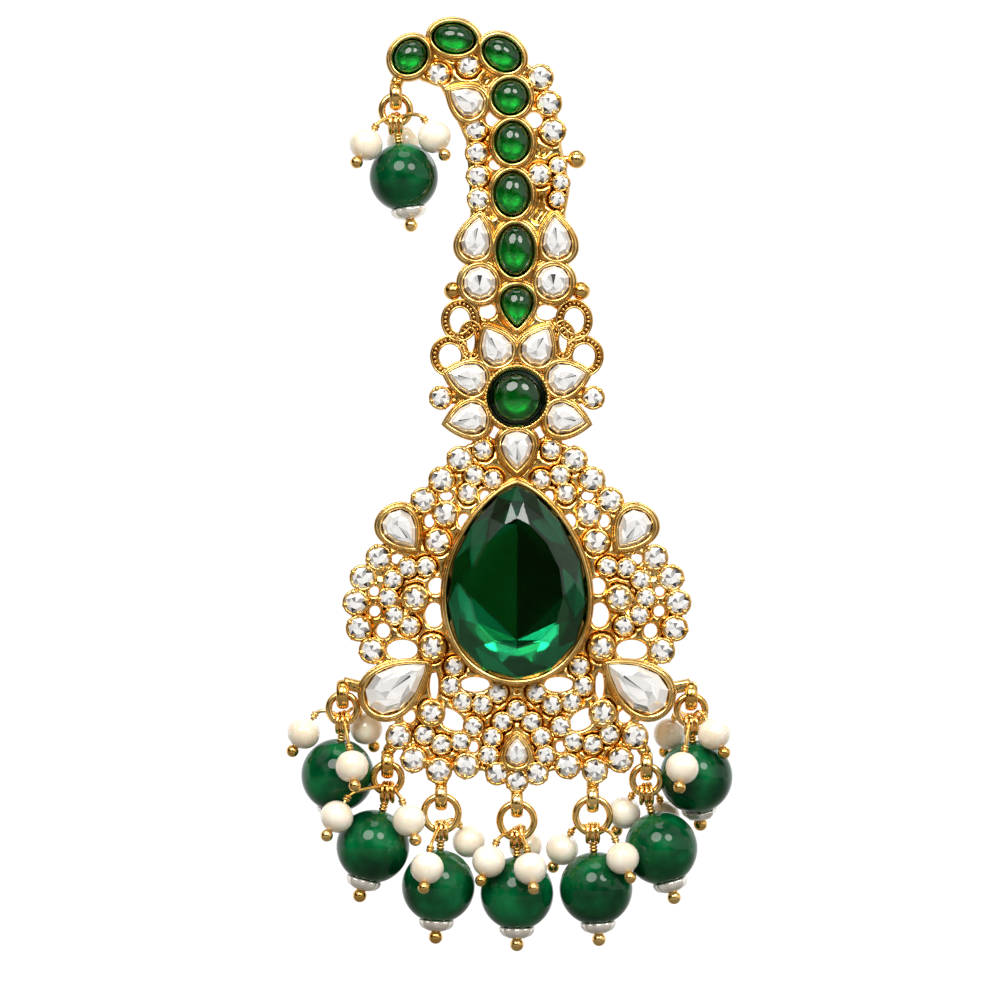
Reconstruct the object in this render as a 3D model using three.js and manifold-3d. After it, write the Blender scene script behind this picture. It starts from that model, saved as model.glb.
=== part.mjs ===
// Turban ornament: a hooked, pierced and gold-plated plate set with green and clear stones,
// with green bead drops hung from eyes along its lower edge and from the tip of its hook.
// Millimetres. +Z runs up the ornament and the stones face -Y.
// The plate is drawn with its flat back at y = 0 and the middle of its flower at x = z = 0.

import * as THREE from 'three';
import { mergeVertices } from 'three/addons/utils/BufferGeometryUtils.js';
import Module from 'manifold-3d';

const wasm = await Module();
wasm.setup();

// Plate
const neckHeight = 46.4; // middle of the flower up to the middle of the topmost cabochon
const hookReach = 13.8; // neck's axis out to the middle of the cabochon at the hook's end
const fanHeight = 49.5; // middle of the flower down to the middle of the lowest rhinestone
const fanHalfWidth = 21; // axis out to the middle of the outermost rhinestones
const plateThickness = 2;
const petalRing = 7.1; // middle of the flower out to the middles of its petals
const flowerDisc = 1.05; // radius of the flower's web as a share of the petal ring
const barEnd = 0.469; // half length of the bar through the flower, as a share of the fan's half width
const barHalf = 0.015; // its half width as a share of the fan's height
const scrollBand = 0.9; // width of the metal round a scroll's opening
const scrollRise = 0.3;
const studDiameter = 2.4;
const studStem = 1;

// Rhinestones, fused to their cups
const largeRhinestone = 2.8;
const middleRhinestone = 2.5;
const cupWall = 0.3;
const collarWall = 0.6;
const collarRise = 0.4;
const rhinestoneCrown = 0.7;
const crownRoot = 0.3; // how deep a rhinestone is fused into its cup
const tableShare = 0.55; // a table's width as a share of its stone's

// Stones set in bezels
const bezelWall = 0.45;
const seatGap = 0.2; // round and under each stone
const bezelRise = 0.8; // over the plate's face
const seatFloor = 0.8; // metal left behind a stone
const girdleDrop = 0.3; // from the bezel's lip down to the stone's widest line
const kundanCrown = 1.1;
const cabochonDome = 1.7;
const centreWidth = 18;
const centreLength = 25;
const centreRise = 2;
const centreCrown = 2;
const pearTaper = 0.8; // how sharply a pear narrows towards its tip
const centreTaper = 0.4;
const domeShoulder = 0.82; // a dome's middle ring and top, as shares of its outline
const domeTop = 0.4;
const centreShoulder = 0.86; // the same of the centre stone's crown
const centreTable = 0.64;
const shoulderRise = 0.6; // height of the middle ring as a share of the dome's or crown's

// Drops
const beadDiameter = 9.5;
const topBeadDiameter = 8.9;
const beadGap = 0.3;
const eyeSpacing = 0.4666; // between the lowest eyes at the least, as a share of the fan's half width
const pearlDiameter = 4.3;
const restGap = 0.25; // between a pearl and the bead that it rests against
const ringDiameter = 5.4;
const ringWire = 0.95;
const eyeBand = 0.9;
const eyeWidth = 1.6;
const linkGap = 0.3; // between a ring's wire and what hangs on it or holds it
const loopWidth = 1.7;
const loopBand = 0.4;
const pinNeck = 1.05; // bare pin between the loop and the bead
const pinWire = 0.5;
const drillGap = 0.3; // round a pin in its bead
const capDiameter = 4.3;
const capHeight = 1;
const capGap = 0.2; // between a bead and its cap
const ballDiameter = 1.8;
const ballSink = 0.35; // middle of an end ball beyond its cap or pearl, as a share of the ball
const pinSpread = 50; // degrees up from a loop's lowest point to where the pearls' pins leave it
const pinAside = 0.3; // how far aside they leave it, as a share of its width
const pearlTilt = 32; // degrees from upright of a pearl's own pin

// Turban pin
const turbanWire = 1.8;
const turbanPinLength = 40;
const turbanStandoff = 6.4; // plate's back to the middle of the wire
const bendShare = 0.45; // the bend's reach as a share of that
const tipSwell = 1.1; // the rounded tip's diameter as a share of the wire's
const footWidth = 6;
const footHeight = 4;
const footThickness = 0.8;
const footGap = 0.3;

const gold = { color: 0xd9a441, metalness: 1, roughness: 0.22 };
const silver = { color: 0xd8d2c4, metalness: 1, roughness: 0.3 };
const emerald = { color: 0x04502f, metalness: 0, roughness: 0.08 };
const beadGreen = { color: 0x066034, metalness: 0, roughness: 0.15 };
const crystal = { color: 0xe6eaec, metalness: 0.2, roughness: 0.05 };

const grid = 1e-4;
const toGrid = (value) => Math.round(value / grid) * grid;
const radians = THREE.MathUtils.degToRad;
const face = plateThickness;
const sizes = { large: largeRhinestone, middle: middleRhinestone };

// Places. x and z are shares of the named sizes of the part of the plate that they lie on.
const onFan = (x, z) => new THREE.Vector2(x * fanHalfWidth, -z * fanHeight);
const onNeck = (x, z) => new THREE.Vector2(x * hookReach, z * neckHeight);
const onFlower = (x, z) => new THREE.Vector2(x * petalRing, z * petalRing);

// Rows of rhinestones on the fan's right half, each mirrored. The finest stones of its inner
// rows are too small for these solids, and their places are flat web. A row runs from one place to
// another along an arc, and bulge is the arc's height as a share of its chord.
const fanRows = [
  { from: [0.469, 0], to: [0.469, 0], bulge: 0, count: 1, size: 'middle' },
  { from: [0.353, 0.16], to: [0.575, 0.268], bulge: 0, count: 3, size: 'large' },
  { from: [0.441, 0.303], to: [0.488, 0.375], bulge: 0, count: 2, size: 'large' },
  { from: [0.851, 0.417], to: [0.893, 0.66], bulge: 0.21, count: 5, size: 'large' },
  { from: [0.729, 0.884], to: [0.312, 0.961], bulge: 0.235, count: 4, size: 'large' },
  { from: [0.123, 0.981], to: [0.123, 0.981], bulge: 0, count: 1, size: 'middle' },
];
const fanCollars = [[0.626, 0.523], [0.522, 0.651], [0.527, 0.823]];
const axisStones = [[0, 1]];

// Rows on the neck and hook, which isn't mirrored.
const neckRows = [
  { from: [-0.74, 0.903], to: [-0.453, 0.925], bulge: 0, count: 2, size: 'middle' },
  { from: [-0.388, 0.747], to: [-0.359, 0.553], bulge: 0, count: 4, size: 'middle' },
  { from: [0.222, 0.893], to: [0.337, 0.743], bulge: 0.04, count: 3, size: 'large' },
  { from: [0.21, 0.622], to: [0.21, 0.622], bulge: 0, count: 1, size: 'middle' },
];

// Outlines of the cast web, through the middles of the stones at its edge. The neck's runs from
// the hook's end down its left side, over its foot on the flower and up its right side.
const neckLeft = [
  [-1, 0.95], [-0.907, 0.887], [-0.72, 0.868], [-0.57, 0.779], [-0.477, 0.717], [-0.449, 0.606],
  [-0.44, 0.517], [-0.477, 0.411], [-0.44, 0.3],
];
const neckFoot = [[-0.505, 0.9], [0.505, 0.9]];
const neckRight = [
  [0.42, 0.3], [0.458, 0.411], [0.458, 0.517], [0.495, 0.578], [0.458, 0.648], [0.41, 0.717],
  [0.374, 0.8], [0.28, 0.87], [0.1, 0.935], [-0.14, 0.985], [-0.36, 0.995], [-0.589, 1.01],
];
const fanWebHalf = [
  [0, 1], [0.123, 0.985], [0.312, 0.965], [0.469, 0.98], [0.623, 0.95], [0.729, 0.884],
  [0.8, 0.77], [0.9, 0.66], [1, 0.6], [1, 0.5], [0.87, 0.41], [0.8, 0.38], [0.78, 0.3],
  [0.6, 0.26], [0.5, 0.2], [0.38, 0.15], [0.3, 0.12], [0, 0.08],
];

// See-through gaps of the web: place, width and height as shares of the fan's half width, and
// turn in degrees. Those of the fan are mirrored.
const fanGaps = [
  { at: [0.135, 0.087], width: 0.086, height: 0.086, turn: 0 },
  { at: [0.436, 0.256], width: 0.075, height: 0.055, turn: 0 },
  { at: [0.538, 0.321], width: 0.061, height: 0.08, turn: 0 },
  { at: [0.326, 0.321], width: 0.074, height: 0.086, turn: 0 },
  { at: [0.197, 0.258], width: 0.061, height: 0.074, turn: 0 },
  { at: [0.737, 0.421], width: 0.08, height: 0.06, turn: 0 },
  { at: [0.826, 0.462], width: 0.06, height: 0.06, turn: 0 },
  { at: [0.879, 0.505], width: 0.06, height: 0.06, turn: 0 },
  { at: [0.876, 0.557], width: 0.065, height: 0.065, turn: 0 },
  { at: [0.823, 0.608], width: 0.08, height: 0.09, turn: 0 },
  { at: [0.707, 0.658], width: 0.19, height: 0.12, turn: 0 },
  { at: [0.498, 0.491], width: 0.09, height: 0.1, turn: 30 },
  { at: [0.51, 0.567], width: 0.11, height: 0.15, turn: 0 },
  { at: [0.705, 0.548], width: 0.06, height: 0.08, turn: 0 },
  { at: [0.51, 0.752], width: 0.05, height: 0.17, turn: 0 },
  { at: [0.258, 0.749], width: 0.18, height: 0.09, turn: 0 },
  { at: [0.406, 0.84], width: 0.19, height: 0.11, turn: 35 },
  { at: [0.664, 0.832], width: 0.075, height: 0.08, turn: 0 },
  { at: [0.269, 0.912], width: 0.06, height: 0.07, turn: 0 },
];
// The neck's gaps are measured in shares of the hook's reach.
const neckGaps = [
  { at: [-0.231, 0.778], width: 0.12, height: 0.14, turn: 0 },
  { at: [0.159, 0.775], width: 0.16, height: 0.15, turn: 0 },
  { at: [-0.2, 0.651], width: 0.12, height: 0.1, turn: 0 },
  { at: [-0.29, 0.887], width: 0.08, height: 0.08, turn: 0 },
  { at: [-0.23, 0.515], width: 0.07, height: 0.09, turn: 0 },
  { at: [-0.275, 0.2425], width: 0.15, height: 0.14, turn: 0 },
  { at: [0.275, 0.239], width: 0.18, height: 0.14, turn: 0 },
];

// Openings of the scroll loops beside the flower, in shares of the petal ring, mirrored.
const scrolls = [
  { at: [1.04, 1.41], width: 0.4, height: 0.49 },
  { at: [1.22, 0.76], width: 0.436, height: 0.47 },
  { at: [0.84, 1.05], width: 0.18, height: 0.455 },
];

// Ball studs at the neck's edge: the ball and the place on the web where its stem starts.
const studs = [
  { ball: [0.56, 0.666], root: [0.4, 0.666] },
  { ball: [0.6, 0.299], root: [0.36, 0.299] },
  { ball: [-0.6, 0.299], root: [-0.36, 0.299] },
];

// Bezel-set stones. Width and length in millimetres are each stone's standard cut size, and
// heading is the way that its length or tip points, in degrees from +X towards +Z.
const cabochons = [
  { name: 'cabochon_1', at: [-1, 0.95], width: 4, length: 4.7, heading: 48 },
  { name: 'cabochon_2', at: [-0.589, 1], width: 3.8, length: 5.5, heading: -8 },
  { name: 'cabochon_3', at: [-0.14, 0.956], width: 4, length: 5.2, heading: -35 },
  { name: 'cabochon_4', at: [-0.062, 0.837], width: 4.5, length: 4.5, heading: 90 },
  { name: 'cabochon_5', at: [-0.042, 0.711], width: 4.4, length: 5.2, heading: 90 },
  { name: 'cabochon_6', at: [-0.045, 0.567], width: 4.5, length: 5.7, heading: 90 },
  { name: 'cabochon_7', at: [-0.015, 0.41], width: 4.7, length: 6.6, heading: 90 },
  { name: 'cabochon_8', at: [0, 0.2525], width: 4, length: 5.3, heading: -90, pear: true },
];
const flowerCabochon = { name: 'flower_cabochon', width: 7.4, length: 7.4, heading: 90 };
const neckStones = [
  { name: 'hook_pear', at: [-0.477, 0.826], width: 3.7, length: 4.6, heading: 149, pear: true },
  { name: 'neck_pear_left', at: [-0.383, 0.445], width: 3.7, length: 5.4, heading: 81, pear: true },
  { name: 'neck_pear_right', at: [0.37, 0.445], width: 3.7, length: 5.4, heading: 96, pear: true },
  { name: 'neck_round_left', at: [-0.348, 0.319], width: 4.2, length: 4.2, heading: 90 },
  { name: 'neck_round_right', at: [0.34, 0.322], width: 4.2, length: 4.2, heading: 90 },
];
const petalWidth = 4;
const petalLength = 5;
// A petal's place round the flower and the way it points, in degrees from the top, mirrored.
const petals = [
  { name: 'upper_petal', round: 23, reach: 1.02, points: 28 },
  { name: 'middle_petal', round: 68.5, reach: 0.98, points: 76 },
  { name: 'lower_petal', round: 113.5, reach: 0.98, points: 101 },
];
const bottomPetal = { name: 'bottom_petal', round: 180, reach: 0.96, points: 180 };
// Pears on the fan's right half, mirrored.
const fanPears = [
  { name: 'side_pear', at: [0.71, 0.345], width: 4.2, length: 5.4, heading: 233.5 },
  { name: 'low_pear', at: [0.737, 0.7505], width: 5.5, length: 9, heading: 144 },
];
const smallPear = { name: 'small_pear', at: [0, 0.9236], width: 2.8, length: 3.6, heading: 90 };
const centreAt = [0, 0.4805];

// Drops. across counts bead pitches from the axis, below is a share of the fan's height, anchor
// is the place on the fan that the eye's arm grows from, and ring is a share of the ring's size.
// lean and back are the degrees that a bead's pin leans sideways and backwards.
// Each pearl rests on its bead: round is degrees from the front, low its depth under the ring.
const drops = [
  {
    name: 'drop_1', across: -2.3, below: 0.775, anchor: [-0.808, 0.772], ring: 0.85,
    lean: -6, back: 16,
    pearls: [{ round: -100, low: 1.4 }, { round: 140, low: 1 }, { round: 16, low: 5.4 }],
  },
  {
    name: 'drop_2', across: -1.71, below: 0.957, anchor: [-0.729, 0.884], ring: 0.85,
    lean: -15, back: 0,
    pearls: [{ round: -60, low: 2.9 }, { round: 36, low: 3.4 }],
  },
  {
    name: 'drop_3', across: -1, below: 1.041, anchor: [-0.469, 0.977], ring: 1, lean: -3, back: 0,
    pearls: [{ round: -15, low: 4.3 }, { round: 120, low: 1.6 }],
  },
  {
    name: 'drop_4', across: 0, below: 1.06, anchor: [0, 1], ring: 1, lean: 0, back: 0,
    pearls: [{ round: -41, low: 2.7 }, { round: 16, low: 3.5 }, { round: 164, low: 1.4 }],
  },
  {
    name: 'drop_5', across: 1, below: 1.047, anchor: [0.469, 0.977], ring: 1, lean: 3.4, back: 0,
    pearls: [{ round: -128, low: 2.4 }, { round: 39, low: 2.9 }],
  },
  {
    name: 'drop_6', across: 1.71, below: 0.962, anchor: [0.729, 0.884], ring: 0.85, lean: 15, back: 0,
    pearls: [{ round: -140, low: 2.7 }, { round: 158, low: 3.4 }],
  },
  {
    name: 'drop_7', across: 2.3, below: 0.779, anchor: [0.808, 0.772], ring: 0.85, lean: 6, back: 16,
    pearls: [{ round: 60, low: 1.2 }, { round: -155, low: 1.6 }, { round: -16, low: 5.4 }],
  },
];
const topDrop = {
  name: 'top_drop', at: [-1.136, 0.843], anchor: [-1, 0.95], ring: 0.85, lean: 8.5, back: 0,
  pearls: [{ round: -53, low: 2.9 }, { round: 64, low: 1.9 }, { round: 170, low: 1.9 }],
};

// Facet counts
const cupSides = 8;
const stoneSides = 10;
const centreSides = 28;
const gapSides = 6;
const scrollSides = 10;
const ballSides = 10;
const ballBands = 6;
const endSides = 6;
const beadSides = 10;
const wireSides = 5;
const pinSides = 4;
const ringSteps = 10;
const eyeSides = 8;

// A mesh's closed geometry as a solid that can be joined and cut. Its points are set to a fine
// grid, so that faces drawn in one plane stay in one plane.
function solidOf(geometry) {
  const plain = geometry.clone();
  plain.deleteAttribute('normal');
  plain.deleteAttribute('uv');
  const merged = mergeVertices(plain, 1e-5);
  const corners = Array.from(merged.index.array);
  const kept = [];
  for (let i = 0; i < corners.length; i += 3) {
    const [a, b, c] = corners.slice(i, i + 3);
    if (a !== b && b !== c && c !== a) kept.push(a, b, c);
  }
  return new wasm.Manifold(new wasm.Mesh({
    numProp: 3,
    vertProperties: Float32Array.from(merged.attributes.position.array, toGrid),
    triVerts: new Uint32Array(kept),
  }));
}

function geometryOf(solid) {
  const mesh = solid.getMesh();
  const geometry = new THREE.BufferGeometry();
  geometry.setAttribute('position', new THREE.BufferAttribute(mesh.vertProperties, 3));
  geometry.setIndex(new THREE.BufferAttribute(mesh.triVerts, 1));
  const flat = geometry.toNonIndexed();
  flat.computeVertexNormals();
  return flat;
}

// Joins solids into one, without the slivers that joined flat faces leave.
const sliver = 0.01;
const join = (solids) => solids.reduce((whole, next) => whole.add(next)).asOriginal().simplify(sliver);

const mirrored = (p) => new THREE.Vector2(-p.x, p.y);

// A closed outline round its middle, counter-clockwise seen from the front. A pear's tip and an
// oval's length point along heading.
function outline({ width, length, heading, pear, taper = pearTaper }, sides, grow = 0) {
  const long = length / 2 + grow;
  const wide = width / 2 + grow;
  const peak = 2 * ((taper + 1) / (taper + 2)) ** ((taper + 1) / 2) / Math.sqrt(taper + 2);
  const middle = new THREE.Vector2();
  return Array.from({ length: sides }, (_, i) => {
    const t = (2 * Math.PI * i) / sides;
    const across = pear ? (Math.sin(t) * Math.sin(t / 2) ** taper) / peak : Math.sin(t);
    const point = new THREE.Vector2(-wide * across, long * Math.cos(t));
    return point.rotateAround(middle, radians(heading - 90));
  });
}

function around(center, radius, sides) {
  return Array.from({ length: sides }, (_, i) => {
    const t = (2 * Math.PI * (i + 0.5)) / sides;
    return new THREE.Vector2(center.x + radius * Math.cos(t), center.y + radius * Math.sin(t));
  });
}

// A prism of an outline, from one depth to another, counted forward from the plate's back.
function prism(points, back, front, holes = []) {
  const shape = new THREE.Shape(points);
  shape.holes = holes.map((hole) => new THREE.Path(hole));
  const geometry = new THREE.ExtrudeGeometry(shape, { depth: front - back, bevelEnabled: false });
  return geometry.rotateX(Math.PI / 2).translate(0, -back, 0);
}

// A solid through rings of points, given from back to front, each {points, depth}.
function loft(rings) {
  const count = rings[0].points.length;
  const positions = rings.flatMap(({ points, depth }) => points.flatMap((p) => [p.x, -depth, p.y]));
  const faces = [];
  for (let ring = 0; ring + 1 < rings.length; ring += 1) {
    for (let i = 0; i < count; i += 1) {
      const a = ring * count + i;
      const b = ring * count + ((i + 1) % count);
      faces.push(a, b, b + count, a, b + count, a + count);
    }
  }
  const last = (rings.length - 1) * count;
  for (let i = 1; i + 1 < count; i += 1) {
    faces.push(0, i + 1, i, last, last + i, last + i + 1);
  }
  const geometry = new THREE.BufferGeometry();
  geometry.setAttribute('position', new THREE.Float32BufferAttribute(positions, 3));
  geometry.setIndex(faces);
  return geometry;
}

const moved = (points, to) => points.map((p) => p.clone().add(to));
const scaled = (points, share) => points.map((p) => p.clone().multiplyScalar(share));

// Even places along the arc of a row.
function rowPlaces({ from, to, bulge, count }, place) {
  const start = place(...from);
  const end = place(...to);
  if (count === 1) return [start];
  const chord = end.clone().sub(start);
  const side = new THREE.Vector2(-chord.y, chord.x);
  const half = 2 * Math.atan(2 * bulge);
  return Array.from({ length: count }, (_, i) => {
    const share = i / (count - 1);
    if (half === 0) return start.clone().addScaledVector(chord, share);
    const angle = half * (2 * share - 1);
    const along = 0.5 + Math.sin(angle) / (2 * Math.sin(half));
    const out = (Math.cos(angle) - Math.cos(half)) / (2 * Math.sin(half));
    return start.clone().addScaledVector(chord, along).addScaledVector(side, out);
  });
}

function rod(from, to, width, sides) {
  const length = from.distanceTo(to);
  const geometry = new THREE.CylinderGeometry(width / 2, width / 2, length, sides);
  const up = new THREE.Vector3(0, 1, 0);
  const turn = new THREE.Quaternion().setFromUnitVectors(up, to.clone().sub(from).normalize());
  return geometry.applyQuaternion(turn).translate(...from.clone().lerp(to, 0.5).toArray());
}

function ball(center, diameter, sides, bands) {
  const geometry = new THREE.SphereGeometry(diameter / 2, sides, bands);
  return geometry.rotateX(Math.PI / 2).translate(...center.toArray());
}

// A cup with its rhinestone: the cup's wall, and a crown with eight facets and a table.
function rhinestone(at, size, wall, rise) {
  const lip = face + rise;
  const spread = (1 - tableShare) * (crownRoot / rhinestoneCrown);
  const girdle = around(new THREE.Vector2(), size / 2, cupSides);
  const crown = loft([
    { points: moved(scaled(girdle, 1 + spread), at), depth: lip - crownRoot },
    { points: moved(scaled(girdle, tableShare), at), depth: lip + rhinestoneCrown },
  ]);
  const cup = prism(around(at, size / 2 + wall, cupSides), 0, lip);
  return solidOf(cup).add(solidOf(crown));
}

function rhinestones() {
  const list = [];
  for (const row of fanRows) {
    for (const at of rowPlaces(row, onFan)) {
      for (const spot of [at, mirrored(at)]) list.push(rhinestone(spot, sizes[row.size], cupWall, 0));
    }
  }
  for (const share of fanCollars) {
    const at = onFan(...share);
    for (const spot of [at, mirrored(at)]) {
      list.push(rhinestone(spot, middleRhinestone, collarWall, collarRise));
    }
  }
  for (const share of axisStones) {
    list.push(rhinestone(onFan(...share), middleRhinestone, cupWall, 0));
  }
  for (const row of neckRows) {
    for (const at of rowPlaces(row, onNeck)) {
      list.push(rhinestone(at, sizes[row.size], cupWall, 0));
    }
  }
  return list;
}

// Every bezel-set stone with its place, its kind and how far its bezel rises.
function settings() {
  const list = [];
  const add = (stone, at, rest) => list.push({ rise: bezelRise, sides: stoneSides, ...stone, at, ...rest });
  const dome = { kind: 'cabochon' };
  const cut = { kind: 'cut' };
  for (const stone of cabochons) add(stone, onNeck(...stone.at), dome);
  add(flowerCabochon, onFlower(0, 0), { ...dome, sides: stoneSides + 2 });
  for (const stone of neckStones) add(stone, onNeck(...stone.at), cut);
  for (const petal of petals) {
    for (const [side, sign] of [['left', -1], ['right', 1]]) {
      add(petalStone(petal, sign, `${petal.name}_${side}`), petalPlace(petal, sign), cut);
    }
  }
  add(petalStone(bottomPetal, 1, bottomPetal.name), petalPlace(bottomPetal, 1), cut);
  for (const stone of fanPears) {
    const at = onFan(...stone.at);
    add({ ...stone, name: `${stone.name}_right`, pear: true }, at, cut);
    const turned = { ...stone, name: `${stone.name}_left`, heading: 180 - stone.heading, pear: true };
    add(turned, mirrored(at), cut);
  }
  add({ ...smallPear, pear: true }, onFan(...smallPear.at), cut);
  const centre = { name: 'centre_stone', width: centreWidth, length: centreLength, heading: 90 };
  const tall = { kind: 'centre', rise: centreRise, sides: centreSides };
  add({ ...centre, pear: true, taper: centreTaper }, onFan(...centreAt), tall);
  return list;
}

function petalPlace({ round, reach }, sign) {
  return onFlower(sign * reach * Math.sin(radians(round)), reach * Math.cos(radians(round)));
}

function petalStone({ points }, sign, name) {
  return { name, width: petalWidth, length: petalLength, heading: 90 - sign * points, pear: true };
}

const bezelOf = (stone) => moved(outline(stone, stone.sides, seatGap + bezelWall), stone.at);
const seatOf = (stone) => moved(outline(stone, stone.sides, seatGap), stone.at);

// The stone itself, from its flat back over its widest line to its table or dome.
function stoneGeometry(stone) {
  const base = outline(stone, stone.sides);
  const girdle = face + stone.rise - girdleDrop;
  const crowns = {
    cut: [[tableShare, kundanCrown]],
    cabochon: [[domeShoulder, shoulderRise * cabochonDome], [domeTop, cabochonDome]],
    centre: [[centreShoulder, shoulderRise * centreCrown], [centreTable, centreCrown]],
  };
  const rings = [
    { points: base, depth: seatFloor + seatGap },
    { points: base, depth: girdle },
    ...crowns[stone.kind].map(([share, rise]) => (
      { points: scaled(base, share), depth: girdle + rise })),
  ];
  return loft(rings.map(({ points, depth }) => ({ points: moved(points, stone.at), depth })));
}

function gapPrism({ width, height, turn }, at, unit, sign) {
  const hole = { width: width * unit, length: height * unit, heading: 90 + sign * turn };
  return solidOf(prism(moved(outline(hole, gapSides), at), -1, face + 1));
}

// The cast web: the neck, the flower's disc and the fan, with their gaps cut through.
function web() {
  const fan = fanWebHalf.map((share) => onFan(...share));
  const fanOutline = [...fan, ...fan.slice(1, -1).reverse().map(mirrored)];
  const neck = [
    ...neckLeft.map((share) => onNeck(...share)),
    ...neckFoot.map((share) => onFlower(...share)),
    ...neckRight.map((share) => onNeck(...share)),
  ];
  const bar = [[-1, -1], [-1, 1], [1, 1], [1, -1]].map(([x, z]) => onFan(x * barEnd, z * barHalf));
  const disc = around(new THREE.Vector2(), petalRing * flowerDisc, scrollSides);
  const solid = join([neck, disc, fanOutline, bar].map((points) => solidOf(prism(points, 0, face))));
  const cuts = [];
  for (const gap of fanGaps) {
    const at = onFan(...gap.at);
    cuts.push(gapPrism(gap, at, fanHalfWidth, 1), gapPrism(gap, mirrored(at), fanHalfWidth, -1));
  }
  for (const gap of neckGaps) cuts.push(gapPrism(gap, onNeck(...gap.at), hookReach, 1));
  return solid.subtract(join(cuts));
}

function scrollLoops() {
  const list = [];
  for (const { at, width, height } of scrolls) {
    const hole = { width: width * petalRing, length: height * petalRing, heading: 90 };
    const place = onFlower(...at);
    for (const spot of [place, mirrored(place)]) {
      const inner = moved(outline(hole, scrollSides), spot);
      const outer = moved(outline(hole, scrollSides, scrollBand), spot);
      list.push(solidOf(prism(outer, 0, face + scrollRise, [inner])));
    }
  }
  return list;
}

function ballStuds() {
  const depth = -face / 2;
  return studs.flatMap(({ ball: at, root }) => {
    const end = onNeck(...at);
    const start = onNeck(...root);
    const center = new THREE.Vector3(end.x, depth, end.y);
    return [
      solidOf(ball(center, studDiameter, ballSides - 2, ballBands)),
      solidOf(rod(new THREE.Vector3(start.x, depth, start.y), center, studStem, wireSides)),
    ];
  });
}

// Everything that a drop's pieces need: its eye, its ring, the middle of the ring's lowest wire,
// and its bead.
function dropFrame(drop) {
  const pitch = Math.max(beadDiameter + beadGap, eyeSpacing * fanHalfWidth);
  const below = new THREE.Vector2(drop.across * pitch, -drop.below * fanHeight);
  const at = drop.at ? onNeck(...drop.at) : below;
  const anchor = drop.at ? onNeck(...drop.anchor) : onFan(...drop.anchor);
  const bead = drop.at ? topBeadDiameter : beadDiameter;
  const eye = new THREE.Vector3(at.x, -face / 2, at.y);
  const ringRadius = (drop.ring * ringDiameter - ringWire) / 2;
  const ring = eye.clone().add(new THREE.Vector3(0, 0, -ringRadius));
  const low = ring.clone().add(new THREE.Vector3(0, 0, -ringRadius));
  const eyeRadius = clearOfRing(ringRadius, eyeWidth);
  const loopRadius = clearOfRing(ringRadius, loopWidth);
  const aside = Math.tan(radians(drop.lean));
  const down = new THREE.Vector3(aside, Math.tan(radians(drop.back)), -1).normalize();
  const hang = loopRadius + loopBand + pinNeck + bead / 2;
  const beadAt = low.clone().addScaledVector(down, hang);
  return { ...drop, anchor, bead, eye, eyeRadius, ringRadius, ring, low, loopRadius, down, beadAt };
}

// The inner radius of a band of some width that a ring's bent wire passes through.
function clearOfRing(ringRadius, width) {
  const rise = ringRadius - Math.sqrt(ringRadius ** 2 - (width / 2) ** 2);
  return (ringWire / 2 + rise + linkGap) / Math.cos(Math.PI / eyeSides);
}

// A band round the X axis, such as an eye or a loop.
function bandAround(center, radius, thick, width) {
  const middle = new THREE.Vector2();
  const shape = new THREE.Shape(around(middle, radius + thick, eyeSides));
  shape.holes = [new THREE.Path(around(middle, radius, eyeSides))];
  const geometry = new THREE.ExtrudeGeometry(shape, { depth: width, bevelEnabled: false });
  return geometry.translate(0, 0, -width / 2).rotateY(Math.PI / 2).translate(...center.toArray());
}

function eyeWithArm({ eye, eyeRadius, anchor }) {
  const crest = new THREE.Vector2(eye.x, eye.z + eyeRadius + eyeBand / 2);
  const along = crest.clone().sub(anchor).normalize();
  const side = new THREE.Vector2(-along.y, along.x).multiplyScalar(eyeWidth / 2);
  const corners = [
    anchor.clone().sub(side), crest.clone().sub(side), crest.clone().add(side), anchor.clone().add(side),
  ];
  return solidOf(bandAround(eye, eyeRadius, eyeBand, eyeWidth)).add(solidOf(prism(corners, 0, face)));
}

function plateGeometry(stones, frames) {
  const body = join([
    web(),
    ...rhinestones(),
    ...stones.map((stone) => solidOf(prism(bezelOf(stone), 0, face + stone.rise))),
    ...scrollLoops(),
    ...ballStuds(),
    ...frames.map(eyeWithArm),
  ]);
  const seats = stones.map((stone) => solidOf(prism(seatOf(stone), seatFloor, face + stone.rise + 5)));
  return geometryOf(body.subtract(join(seats)).asOriginal().simplify(sliver));
}

function jumpRing({ ringRadius, ring }) {
  const geometry = new THREE.TorusGeometry(ringRadius, ringWire / 2, wireSides, ringSteps);
  return geometry.rotateX(Math.PI / 2).translate(...ring.toArray());
}

function drilledBead({ bead, beadAt, down }) {
  const drill = rod(
    beadAt.clone().addScaledVector(down, -bead),
    beadAt.clone().addScaledVector(down, bead),
    pinWire + 2 * drillGap,
    wireSides,
  );
  return geometryOf(solidOf(ball(beadAt, bead, beadSides, 5)).subtract(solidOf(drill)));
}

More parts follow.
